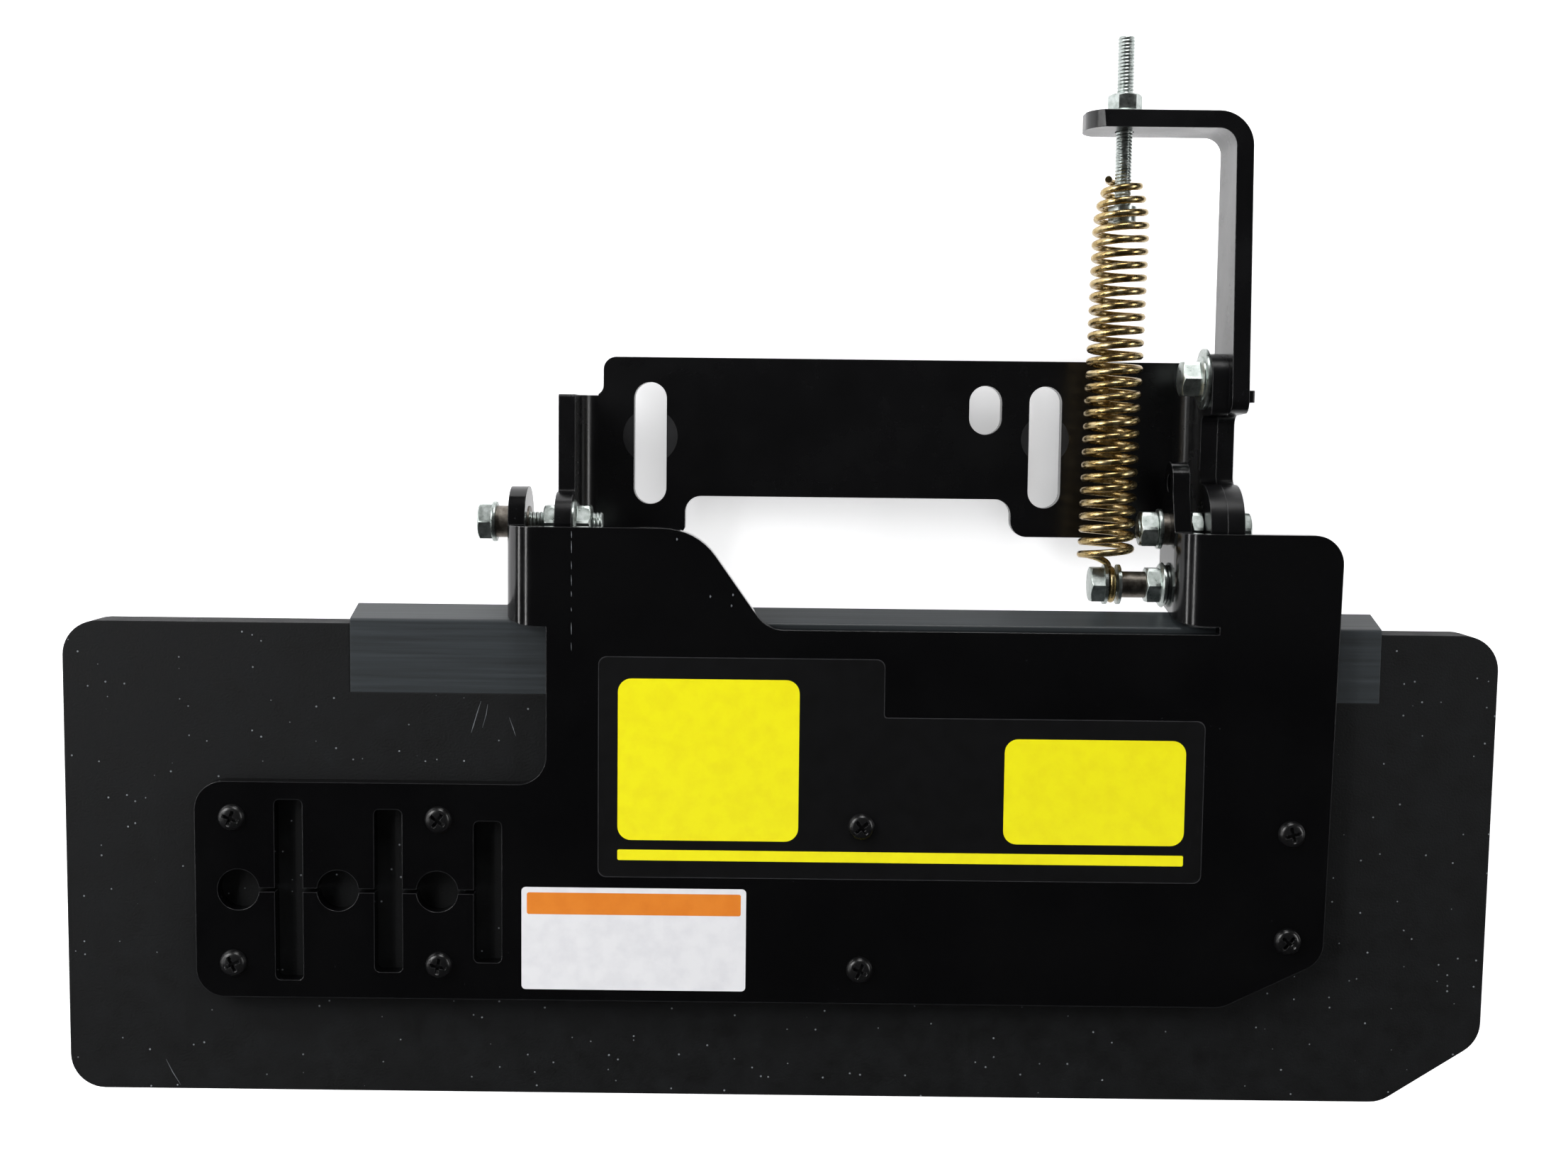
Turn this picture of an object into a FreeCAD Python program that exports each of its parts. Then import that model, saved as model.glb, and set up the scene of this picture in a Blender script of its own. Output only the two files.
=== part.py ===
import FreeCAD, Part
import math
import os
from FreeCAD import Placement, Rotation, Vector

# Mower chute blocker: a swinging board on a folded steel plate, hung from a folded hanger and pulled by a spring.
# Frame: X to the right, Y away from the viewer, Z up. The origin lies on the hanger's back face, midway between
# its two long slots.

doc = FreeCAD.newDocument("chute_blocker")
sheet = doc.addObject("Spreadsheet::Sheet", "Sizes")

SIZES = {
    # plate stock and folds
    "plate_thick": 6.35,
    "fold_radius": 6.35,
    # hinge
    "axis_front": 33.0,
    "axis_drop": 30.0,
    "face_front": 25.35,
    "swing_clearance": 2.0,
    # hanger plate
    "slot_spacing": 154.6,
    "slot_width": 12.7,
    "slot_length": 47.6,
    "short_slot_length": 19.0,
    "short_slot_from_right": 23.5,
    "hanger_top": 33.5,
    "hanger_corner": 5.0,
    "window_corner": 6.3,
    "leg_corner": 3.0,
    "hanger_left": 95.7,
    "hanger_shoulder": 18.4,
    "hanger_leg_bottom": 35.2,
    "window_top": 20.5,
    "window_left": 63.5,
    "window_right": 64.4,
    "left_ear_face": 110.4,
    "right_ear_face": 133.6,
    "left_lug_radius": 11.5,
    "right_lug_radius": 17.0,
    "neck_front_setback": 5.5,
    "neck_back_setback": 14.5,
    "neck_corner": 3.0,
    "neck_low": 13.0,
    "tail_low": 9.0,
    "tail_corner": 9.0,
    "ear_foot_reach": 12.0,
    "ear_crest": 2.5,
    "ear_crest_end": 16.0,
    "ear_corner": 9.0,
    "bolt_play": 0.2,
    # spring arm
    "arm_top": 124.4,
    "arm_reach": 60.5,
    "arm_width": 25.0,
    "arm_foot_reach": 17.3,
    "arm_foot_slope": 1.0,
    "arm_foot_corner": 5.0,
    "arm_foot_height": 13.0,
    "spring_setback": 2.0,
    "tab_out": 4.3,
    "tab_reach": 8.0,
    "tab_width": 14.0,
    "tab_height": 4.5,
    "tab_low": 17.9,
    # flap plate
    "flap_left_ear": 127.4,
    "flap_right_ear": 120.9,
    "flap_fold_outer": 12.7,
    "flap_top": 30.5,
    "flap_window": 67.5,
    "flap_slope_left": 56.6,
    "flap_slope_right": 30.4,
    "slope_corner_high": 24.0,
    "slope_corner_low": 12.0,
    "flap_corner": 10.7,
    "flap_right": 181.0,
    "flap_taper": 2.8,
    "flap_bottom": 207.6,
    "flap_corner_low": 141.0,
    "flap_corner_high": 189.5,
    "flap_step": 111.6,
    "tab_top": 126.1,
    "tab_left": 242.0,
    "tab_corner": 10.7,
    "flap_lug_radius": 13.5,
    "tall_lug_reach": 25.5,
    "tall_lug_width": 16.0,
    "tall_lug_fillet": 6.0,
    "ear_edge_corner": 8.0,
    "lug_shoulder": 4.0,
    "lug_shoulder_corner": 5.0,
    "cable_hole_radius": 3.3,
    "relief_height": 2.9,
    "relief_out": 2.4,
    "break_slot_width": 10.4,
    "break_slot_first": 68.3,
    "break_slot_second": 61.6,
    "break_slot_third": 53.6,
    "break_pitch": 37.0,
    "break_hole_radius": 7.75,
    "break_hole_first": 226.0,
    "break_slot_offset": 18.8,
    "break_slit": 1.5,
    "break_slot_corner": 2.0,
    # board and edge strip
    "board_thick": 15.9,
    "board_middle": 25.3,
    "board_width": 533.4,
    "board_height": 177.8,
    "board_chamfer_wide": 38.0,
    "board_chamfer_tall": 24.0,
    "board_corner": 13.0,
    "board_draft": 1.0,
    "strip_left_inset": 106.9,
    "strip_right_inset": 43.8,
    "strip_leg": 27.4,
    "strip_wall": 3.0,
    "strip_front_rise": 1.8,
    "strip_back_rise": 6.7,
    "strip_edge": 1.2,
    "rebate_gap": 0.1,
    "seat_clearance": 0.4,
    # fasteners
    "bolt_radius": 3.97,
    "bolt_hex": 12.7,
    "bolt_head": 5.3,
    "jam_nut_thick": 4.8,
    "nut_thick": 6.8,
    "flange_radius": 8.6,
    "flange_thick": 1.6,
    "washer_radius": 7.6,
    "washer_thick": 1.6,
    "bushing_radius": 6.0,
    "left_bushing_long": 12.4,
    "right_bushing_out": 2.6,
    "lug_play": 0.35,
    "running_gap": 0.05,
    "thread_gap": 0.03,
    "bolt_end": 0.6,
    "left_bolt_end": 4.0,
    "arm_bolt_height": 26.6,
    "arm_bolt_head": 6.5,
    "arm_washer_radius": 11.4,
    "anchor_drop": 21.4,
    "anchor_spacer_radius": 5.0,
    "anchor_spacer_long": 9.5,
    "anchor_washer_thick": 1.2,
    "screw_head_radius": 5.0,
    "screw_head_high": 2.9,
    "screw_radius": 2.4,
    "screw_nut_hex": 9.5,
    "screw_nut_thick": 4.0,
    "screw_end": 1.5,
    "tab_screw_left": 228.0,
    "tab_screw_right": 151.4,
    "tab_screw_high": 139.6,
    "screw_low": 194.6,
    "screw_high": 140.4,
    "middle_screw": 5.5,
    "right_screw": 165.0,
    "right_screw_low": 182.0,
    # spring and tension rod
    "rod_x": 100.9,
    "spring_lean": 3.2,
    "loop_shift": 0.8,
    "loop_play": 0.4,
    "rod_radius": 3.175,
    "rod_top": 152.8,
    "rod_bottom": 84.0,
    "rod_nut_hex": 11.1,
    "rod_nut_thick": 7.3,
    "rod_hole_radius": 3.6,
    "plug_radius": 5.2,
    "plug_thick": 5.5,
    "wire": 2.7,
    "coil_outer": 10.75,
    "coil_pitch": 4.85,
    "coil_turns": 25.0,
    "cone_turns": 4.0,
    "cone_top_radius": 5.4,
    "spring_top": 102.0,
}

for row, (alias, number) in enumerate(SIZES.items(), start=1):
    sheet.set(f"A{row}", alias)
    sheet.set(f"B{row}", str(number))
    sheet.setAlias(f"B{row}", alias)
doc.recompute()


def size(alias):
    return float(sheet.get(alias))


# Places worked out from the driving sizes
THICK = size("plate_thick")
AXIS_Y = -size("axis_front")
AXIS_Z = -size("axis_drop")
FACE_Y = AXIS_Y - size("face_front")
PLATE_BACK_Y = FACE_Y + THICK
BOARD_BACK_Y = PLATE_BACK_Y + size("board_thick")
FOLD_OUTER = size("fold_radius") + THICK
NECK_FRONT_Y = AXIS_Y + size("neck_front_setback")
RIGHT_EAR = size("right_ear_face")
ARM_FACE = RIGHT_EAR + THICK
FLAP_LEFT_EAR = -size("flap_left_ear")
FLAP_RIGHT_EAR = size("flap_right_ear")
SPRING_Y = AXIS_Y + size("spring_setback")
ANCHOR_Z = AXIS_Z - size("anchor_drop")
BOARD_TOP = -size("flap_window")
BOARD_LEFT = -size("board_middle") - size("board_width") / 2
BOARD_RIGHT = BOARD_LEFT + size("board_width")
STRIP_LEFT = BOARD_LEFT + size("strip_left_inset")
STRIP_RIGHT = BOARD_RIGHT - size("strip_right_inset")
BOLT_HOLE = size("bolt_radius") + size("bolt_play")
THROUGH = 60.0

# Where each sketch lies: facing the viewer, seen from the right side, or seen from above
FRONT = Rotation(Vector(1, 0, 0), 90)
SIDE = Rotation(Vector(1, 1, 1), 120)
PLAN = Rotation()
ALONG_X = Rotation(Vector(0, 1, 0), 90)
ALONG_Y = Rotation(Vector(1, 0, 0), -90)


def corner_arc(before, corner, after, radius):
    """Tangent points and middle of the arc that rounds a corner."""
    into = (before - corner).normalize()
    out = (after - corner).normalize()
    half = into.getAngle(out) / 2
    reach = radius / math.tan(half)
    middle = corner + (into + out).normalize() * (radius / math.sin(half) - radius)
    return corner + into * reach, middle, corner + out * reach


def outline(corners):
    """Closed loop of lines and arcs through corners given as (across, up, rounding radius)."""
    count = len(corners)
    points = [Vector(a, b, 0) for a, b, _ in corners]
    ends = []
    loop = []
    for i, (_, _, radius) in enumerate(corners):
        if radius > 0:
            start, middle, end = corner_arc(points[i - 1], points[i], points[(i + 1) % count], radius)
            loop.append(Part.Arc(start, middle, end))
            ends.append((start, end))
        else:
            ends.append((points[i], points[i]))
    for i in range(count):
        start = ends[i][1]
        end = ends[(i + 1) % count][0]
        if start.distanceToPoint(end) > 1e-6:
            loop.append(Part.LineSegment(start, end))
    return loop


def rectangle(left, right, low, high, radius=0.0):
    return outline([(left, low, radius), (right, low, radius), (right, high, radius), (left, high, radius)])


def slot(across, middle, width, length):
    """Upright slot with round ends."""
    half = width / 2
    return rectangle(across - half, across + half, middle - length / 2, middle + length / 2, half - 0.001)


def circle(across, up, radius):
    return [Part.Circle(Vector(across, up, 0), Vector(0, 0, 1), radius)]


def sketch(name, loops, turn, origin):
    """Sketch of closed loops; loops inside the first one are holes."""
    drawing = doc.addObject("Sketcher::SketchObject", name)
    drawing.Placement = Placement(origin, turn)
    for loop in loops:
        drawing.addGeometry(loop, False)
    return drawing


def extrude(name, loops, turn, origin, length, alias=None):
    """Solid drawn out from a sketch along the sketch's normal."""
    solid = doc.addObject("Part::Extrusion", name)
    solid.Base = sketch(name + "_outline", loops, turn, origin)
    solid.DirMode = "Normal"
    solid.Solid = True
    solid.LengthFwd = length
    if alias:
        solid.setExpression("LengthFwd", "Sizes." + alias)
    return solid


def front_plate(name, loops, front, thick, alias=None):
    """Plate that faces the viewer, from its front face backwards."""
    return extrude(name, loops, FRONT, Vector(0, front + thick, 0), thick, alias)


def side_plate(name, loops, left, thick, alias=None):
    """Plate that stands across X, from its left face to the right."""
    return extrude(name, loops, SIDE, Vector(left, 0, 0), thick, alias)


def fuse(name, pieces):
    joined = doc.addObject("Part::MultiFuse", name)
    joined.Shapes = pieces
    joined.Refine = True
    return joined


def common(name, pieces):
    shared = doc.addObject("Part::MultiCommon", name)
    shared.Shapes = pieces
    return shared


def cut(name, base, tool):
    remainder = doc.addObject("Part::Cut", name)
    remainder.Base = base
    remainder.Tool = tool
    return remainder


def cylinder(name, radius_alias, start, length, turn=ALONG_X, extra=0.0):
    """Round bar from start along the turned Z axis."""
    bar = doc.addObject("Part::Cylinder", name)
    bar.setExpression("Radius", f"Sizes.{radius_alias} + {extra}")
    bar.Height = length
    bar.Placement = Placement(start, turn)
    return bar


def hexagon(name, hex_alias, start, length, turn=ALONG_X):
    """Hexagonal bar given by its width across flats."""
    bar = doc.addObject("Part::Prism", name)
    bar.Polygon = 6
    bar.setExpression("Circumradius", f"Sizes.{hex_alias} / sqrt(3)")
    bar.Height = length
    bar.Placement = Placement(start, turn)
    return bar


def ring(name, outer_alias, inner_alias, start, length, gap, turn=ALONG_X):
    """Washer or sleeve."""
    body = cylinder(name + "_body", outer_alias, start, length, turn)
    hole = cylinder(name + "_hole", inner_alias, start, length, turn, gap)
    return cut(name, body, hole)


def nut(name, start, thick, gap, flange_at=None):
    """Nut on a bolt that lies along X, with a flange at one end where flange_at gives its start."""
    body = hexagon(name + "_hex", "bolt_hex", start, thick)
    if flange_at is not None:
        flange = cylinder(name + "_flange", "flange_radius", Vector(flange_at, start.y, start.z),
                          size("flange_thick"))
        body = fuse(name + "_body", [body, flange])
    hole = cylinder(name + "_hole", "bolt_radius", start, thick, ALONG_X, gap)
    return cut(name, body, hole)


def bolt(name, y, z, head_start, shank_start, shank_end):
    """Hexagon-headed bolt along X."""
    head = hexagon(name + "_head", "bolt_hex", Vector(head_start, y, z), size("bolt_head"))
    shank = cylinder(name + "_shank", "bolt_radius", Vector(shank_start, y, z), shank_end - shank_start)
    return fuse(name, [head, shank])


# Hanger

def folded_channel(left, right, front, low, high):
    """Hanger stock seen from above: two ears folded towards the viewer."""
    inner = size("fold_radius")
    section = outline([
        (left, front, 0), (left + THICK, front, 0), (left + THICK, -THICK, inner),
        (right - THICK, -THICK, inner), (right - THICK, front, 0), (right, front, 0),
        (right, 0, FOLD_OUTER), (left, 0, FOLD_OUTER),
    ])
    return extrude("hanger_channel", [section], PLAN, Vector(0, 0, low), high - low)


def hanger_front_loops(left, right):
    """Face of the hanger with its window and slots."""
    top = size("hanger_top")
    shoulder = size("hanger_shoulder")
    leg = -size("hanger_leg_bottom")
    window = -size("window_top")
    corner = size("hanger_corner")
    inner = size("window_corner")
    face = outline([
        (left, leg, 0), (-size("window_left"), leg, size("leg_corner")), (-size("window_left"), window, inner),
        (size("window_right"), window, inner), (size("window_right"), leg, inner), (right, leg, 0),
        (right, top, 0), (-size("hanger_left"), top, corner), (-size("hanger_left"), shoulder, corner - 1),
        (left, shoulder, 0),
    ])
    half = size("slot_spacing") / 2
    width = size("slot_width")
    length = size("slot_length")
    short = size("short_slot_length")
    short_middle = length / 2 - short / 2
    return [
        face,
        slot(-half, 0, width, length),
        slot(half, 0, width, length),
        slot(half - size("short_slot_from_right"), short_middle, width, short),
    ]


def lug_corners(radius):
    """Lower round of a lug about the hinge axis, from its front to its back."""
    reach = radius - 0.05
    return [(AXIS_Y - radius, AXIS_Z - radius, reach), (AXIS_Y - radius, AXIS_Z + radius, reach)]


def left_ear_loops(back):
    radius = size("left_lug_radius")
    leg = -size("hanger_leg_bottom")
    upper_front = AXIS_Y + size("swing_clearance") + 0.5
    profile = outline(lug_corners(radius) + [
        (upper_front, AXIS_Z + radius, 1.3), (upper_front, size("hanger_shoulder"), 1.5),
        (back, size("hanger_shoulder"), 0), (back, leg, 0), (AXIS_Y + radius, leg, size("leg_corner")),
        (AXIS_Y + radius, AXIS_Z - radius, 2.5),
    ])
    return [profile, circle(AXIS_Y, AXIS_Z, BOLT_HOLE)]


def neck_corners(radius):
    """Front edge of the right neck, which the open flap plate's shoulder passes."""
    corner = size("neck_corner")
    return [(NECK_FRONT_Y, AXIS_Z + radius, corner), (NECK_FRONT_Y, size("arm_foot_height"), corner + 1)]


def right_ear_loops(back):
    radius = size("right_lug_radius")
    top = size("hanger_top")
    crest = top + size("ear_crest")
    front = AXIS_Y - size("ear_foot_reach")
    crest_end = AXIS_Y + size("ear_crest_end")
    leg = -size("hanger_leg_bottom")
    profile = outline(lug_corners(radius) + neck_corners(radius) + [
        (front, size("arm_foot_height"), size("neck_corner")), (front, crest, size("ear_corner")),
        (crest_end - 4, crest, 2), (crest_end, top, 0), (back, top, 0), (back, leg, 0),
        (AXIS_Y + radius, leg, 2), (AXIS_Y + radius, AXIS_Z - radius, size("tail_corner")),
    ])
    return [profile, circle(AXIS_Y, AXIS_Z, BOLT_HOLE), circle(AXIS_Y, size("arm_bolt_height"), BOLT_HOLE)]


def make_hanger_plate():
    left = -size("left_ear_face")
    right = ARM_FACE
    front = AXIS_Y - size("right_lug_radius") - 5
    channel = folded_channel(left, right, front, AXIS_Z - 20, size("hanger_top") + 10)
    face = front_plate("hanger_face", hanger_front_loops(left, right), -2 * THROUGH, 2 * THROUGH + 5)
    left_limit = left + FOLD_OUTER
    right_limit = right - FOLD_OUTER
    left_side = side_plate("hanger_left_side", left_ear_loops(5), left - 5, FOLD_OUTER + 5)
    right_side = side_plate("hanger_right_side", right_ear_loops(5), right_limit, FOLD_OUTER + 5)
    middle = extrude("hanger_middle_band", [rectangle(left_limit, right_limit, -THICK - 5, 5)], PLAN,
                     Vector(0, 0, AXIS_Z - 20), size("hanger_top") + 10 - AXIS_Z + 20)
    # the face outline trims only the flat and its folds, the side outlines trim the ears
    flat = common("hanger_flat", [channel, face, middle])
    left_ear = common("hanger_left_ear", [channel, left_side])
    right_ear = common("hanger_right_ear", [channel, right_side])
    return fuse("hanger_plate", [flat, left_ear, right_ear])


# Spring arm

def make_spring_arm():
    top = size("arm_top")
    outer = ARM_FACE + THICK
    end = outer - size("arm_reach")
    low = AXIS_Z - size("right_lug_radius") - 5
    section = outline([
        (ARM_FACE, low, 0), (outer, low, 0), (outer, top, FOLD_OUTER), (end, top, 0),
        (end, top - THICK, 0), (ARM_FACE, top - THICK, size("fold_radius")),
    ])
    band = front_plate("arm_band", [section], -THROUGH, THROUGH)
    half = size("arm_width") / 2
    foot = size("arm_foot_height") + size("arm_foot_slope")
    radius = size("right_lug_radius")
    profile = outline(lug_corners(radius) + neck_corners(radius) + [
        (AXIS_Y - size("arm_foot_reach"), foot, size("arm_foot_corner")), (SPRING_Y - half, top + 5, 0),
        (SPRING_Y + half, top + 5, 0), (AXIS_Y + size("neck_back_setback"), AXIS_Z + size("neck_low"), 4),
        (AXIS_Y + radius, AXIS_Z + size("tail_low"), 2), (AXIS_Y + radius, AXIS_Z - radius, radius - 0.05),
    ])
    side_loops = [profile, circle(AXIS_Y, AXIS_Z, BOLT_HOLE), circle(AXIS_Y, size("arm_bolt_height"), BOLT_HOLE)]
    side = side_plate("arm_side", side_loops, end - 5, size("arm_reach") + 10)
    plan_loops = [
        outline([(end, SPRING_Y - half, half - 0.5), (outer + 1, SPRING_Y - 2 * half, 0),
                 (outer + 1, SPRING_Y + 2 * half, 0), (end, SPRING_Y + half, half - 0.5)]),
        circle(size("rod_x"), SPRING_Y, size("rod_hole_radius")),
    ]
    plan = extrude("arm_plan", plan_loops, PLAN, Vector(0, 0, low), top - low + 5)
    bent = common("arm_bent", [band, side, plan])
    tab_front = AXIS_Y - size("tab_reach")
    tab_loop = rectangle(outer - 1, outer + size("tab_out"), tab_front, tab_front + size("tab_width"), 1)
    tab = extrude("arm_tab", [tab_loop], PLAN, Vector(0, 0, size("tab_low")), size("tab_height"), "tab_height")
    return fuse("spring_arm", [bent, tab])


def make_arm_bolt():
    z = size("arm_bolt_height")
    washer_start = RIGHT_EAR - size("washer_thick")
    flange_start = washer_start - size("flange_thick")
    head_high = size("arm_bolt_head")
    head = hexagon("arm_bolt_head", "bolt_hex", Vector(flange_start - head_high, AXIS_Y, z), head_high)
    flange = cylinder("arm_bolt_flange", "flange_radius", Vector(flange_start, AXIS_Y, z), size("flange_thick"))
    shank = cylinder("arm_bolt_shank", "bolt_radius", Vector(flange_start, AXIS_Y, z),
                     ARM_FACE + THICK + size("bolt_end") - flange_start)
    bolt_solid = fuse("arm_bolt", [head, flange, shank])
    washer = ring("arm_washer", "arm_washer_radius", "bolt_radius", Vector(washer_start, AXIS_Y, z),
                  size("washer_thick"), size("thread_gap"))
    return [bolt_solid, washer]


# Hinge fasteners

def at_hinge(x):
    return Vector(x, AXIS_Y, AXIS_Z)


def make_left_pivot():
    """Stack along the left hinge bolt, from the ear outwards to the head."""
    gap = size("thread_gap")
    ear = -size("left_ear_face")
    thick = size("washer_thick")
    bushing_end = FLAP_LEFT_EAR + THICK + size("lug_play")
    bushing_start = bushing_end - size("left_bushing_long")
    washer_start = bushing_start - thick
    head_start = washer_start - size("bolt_head")
    end = ear + THICK + size("nut_thick") + size("left_bolt_end")
    return [
        bolt("left_pivot_bolt", AXIS_Y, AXIS_Z, head_start, head_start + 1, end),
        ring("left_pivot_washer", "washer_radius", "bolt_radius", at_hinge(washer_start), thick, gap),
        ring("left_pivot_bushing", "bushing_radius", "bolt_radius", at_hinge(bushing_start),
             size("left_bushing_long"), gap),
        nut("left_jam_nut", at_hinge(ear - size("jam_nut_thick")), size("jam_nut_thick"), gap),
        nut("left_flange_nut", at_hinge(ear + THICK), size("nut_thick"), gap, ear + THICK),
    ]


def make_right_pivot():
    """Stack along the right hinge bolt, from the head outside the arm to the nut inside."""
    gap = size("thread_gap")
    thick = size("washer_thick")
    jam_start = RIGHT_EAR - size("jam_nut_thick")
    bushing_start = FLAP_RIGHT_EAR - size("right_bushing_out")
    bushing_long = jam_start - bushing_start
    washer_start = bushing_start - thick
    nut_start = washer_start - size("nut_thick")
    head_start = ARM_FACE + THICK
    return [
        bolt("right_pivot_bolt", AXIS_Y, AXIS_Z, head_start, nut_start - size("bolt_end"), head_start + 1),
        nut("right_jam_nut", at_hinge(jam_start), size("jam_nut_thick"), gap),
        ring("right_pivot_bushing", "bushing_radius", "bolt_radius", at_hinge(bushing_start), bushing_long,
             gap),
        ring("right_pivot_washer", "washer_radius", "bolt_radius", at_hinge(washer_start), thick, gap),
        nut("right_pivot_nut", at_hinge(nut_start), size("nut_thick"), gap),
    ]


# Flap plate

def ear_bottom(y):
    """Height of the edge strip's sloping top, plus the clearance under the ears."""
    front = BOARD_TOP + size("strip_front_rise")
    slope = (size("strip_back_rise") - size("strip_front_rise")) / size("board_thick")
    return front + slope * (y - PLATE_BACK_Y) + size("seat_clearance")


def folded_ear(name, left, loops):
    """Ear folded backwards from the flap plate, with its outer fold radius and a side outline."""
    outer = size("flap_fold_outer")
    back = AXIS_Y + size("flap_lug_radius") + 5
    section = outline([
        (left, back, 0), (left, FACE_Y, outer), (left + outer + 1, FACE_Y, 0),
        (left + outer + 1, PLATE_BACK_Y, 0), (left + THICK, PLATE_BACK_Y, outer - THICK), (left + THICK, back, 0),
    ])
    low = BOARD_TOP - 5
    strip = extrude(name + "_section", [section], PLAN, Vector(0, 0, low), -low + 5)
    side = side_plate(name + "_side", loops, left - 1, outer + 2)
    return common(name, [strip, side])


def left_flap_ear_loops():
    radius = size("flap_lug_radius")
    back = AXIS_Y + radius
    profile = outline([
        (FACE_Y, ear_bottom(FACE_Y), 0), (FACE_Y, -size("flap_top"), 0),
        (AXIS_Y - radius, -size("flap_top"), 0), (AXIS_Y - radius, AXIS_Z + radius, radius - 0.6),
        (back, AXIS_Z + radius, radius - 0.6), (back, ear_bottom(back), size("ear_edge_corner")),
    ])
    return [profile, circle(AXIS_Y, AXIS_Z, size("bushing_radius") + size("running_gap"))]


def right_flap_ear_loops():
    radius = size("flap_lug_radius")
    back = AXIS_Y + radius
    half = size("tall_lug_width") / 2
    top = AXIS_Z + size("tall_lug_reach")
    bottom = BOARD_TOP + size("relief_height")
    fillet = size("tall_lug_fillet")
    profile = outline([
        (FACE_Y, bottom, 0), (FACE_Y, -size("flap_top"), 0), (AXIS_Y - radius, -size("flap_top"), 0),
        (AXIS_Y - half, AXIS_Z + radius, fillet), (AXIS_Y - half, top, half - 0.1),
        (AXIS_Y + half, top, half - 0.1), (AXIS_Y + half, AXIS_Z + radius, fillet),
        (back, AXIS_Z + size("lug_shoulder"), size("lug_shoulder_corner")),
        (back, bottom + size("strip_back_rise"), size("ear_edge_corner")),
    ])
    return [
        profile,
        circle(AXIS_Y, AXIS_Z, size("bushing_radius") + size("running_gap")),
        circle(AXIS_Y, top - half, size("cable_hole_radius")),
        circle(SPRING_Y, ANCHOR_Z, size("bolt_radius") + size("thread_gap")),
    ]


def flap_face_outline():
    outer = size("flap_fold_outer")
    top = -size("flap_top")
    window = -size("flap_window")
    left = FLAP_LEFT_EAR + outer
    right_fold = FLAP_RIGHT_EAR + outer
    relief_right = right_fold + size("relief_out")
    right = size("flap_right")
    low_right = right - size("flap_taper")
    bottom = -size("flap_bottom")
    step = -size("flap_step")
    tab = -size("tab_left")
    corner = size("tab_corner")
    edge = size("flap_corner")
    return outline([
        (left, top, 0), (-size("flap_slope_left"), top, size("slope_corner_high")),
        (-size("flap_slope_right"), window, size("slope_corner_low")),
        (relief_right, window, 0), (relief_right, window + size("relief_height"), 0),
        (right_fold, window + size("relief_height"), 0), (right_fold, top, 0), (right, top, edge),
        (low_right, -size("flap_corner_high"), edge), (size("flap_corner_low"), bottom, edge),
        (tab, bottom, corner), (tab, -size("tab_top"), corner), (step, -size("tab_top"), corner),
        (step, ear_bottom(FACE_Y), 0), (left, ear_bottom(FACE_Y), 0),
    ])


def screw_places():
    """Screws in the tab's four corners, then the middle and right pairs."""
    tab_high = -size("tab_screw_high")
    low = -size("screw_low")
    high = -size("screw_high")
    left = -size("tab_screw_left")
    right = -size("tab_screw_right")
    return [
        (left, tab_high), (left, low), (right, tab_high), (right, low),
        (size("middle_screw"), high), (size("middle_screw"), low),
        (size("right_screw"), high), (size("right_screw"), -size("right_screw_low")),
    ]


def break_line_loops():
    """Three holes, three upright slots and a slit, where the tab can be broken off to length."""
    first = -size("break_hole_first")
    pitch = size("break_pitch")
    middle = -(size("tab_top") + size("flap_bottom")) / 2
    offset = size("break_slot_offset")
    half = size("break_slot_width") / 2
    holes = [(first + i * pitch, middle) for i in range(3)]
    lengths = [size("break_slot_first"), size("break_slot_second"), size("break_slot_third")]
    slots = []
    for (x, z), length in zip(holes, lengths):
        slots.append((x + offset - half, x + offset + half, z - length / 2, z + length / 2))
    return holes, slots, middle


def make_flap_plate():
    face = front_plate("flap_face", [flap_face_outline()], FACE_Y, THICK, "plate_thick")
    left_ear = folded_ear("flap_left_fold", FLAP_LEFT_EAR, left_flap_ear_loops())
    right_ear = folded_ear("flap_right_fold", FLAP_RIGHT_EAR, right_flap_ear_loops())
    blank = fuse("flap_blank", [face, left_ear, right_ear])
    holes, slots, middle = break_line_loops()
    cutters = []
    for i, (x, z) in enumerate(holes):
        cutters.append(front_plate(f"break_hole_{i}", [circle(x, z, size("break_hole_radius"))],
                                   FACE_Y - 1, THICK + 2))
    for i, (left, right, low, high) in enumerate(slots):
        loop = rectangle(left, right, low, high, size("break_slot_corner"))
        cutters.append(front_plate(f"break_slot_{i}", [loop], FACE_Y - 1, THICK + 2))
    half_slit = size("break_slit") / 2
    slit = rectangle(holes[0][0], slots[2][0] + 1, middle - half_slit, middle + half_slit)
    cutters.append(front_plate("break_slit", [slit], FACE_Y - 1, THICK + 2))
    for i, (x, z) in enumerate(screw_places()):
        cutters.append(front_plate(f"plate_screw_hole_{i}",
                                   [circle(x, z, size("screw_radius") + size("thread_gap"))],
                                   FACE_Y - 1, THICK + 2))
    return cut("flap_plate", blank, fuse("flap_cutters", cutters))


# Board and edge strip

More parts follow.
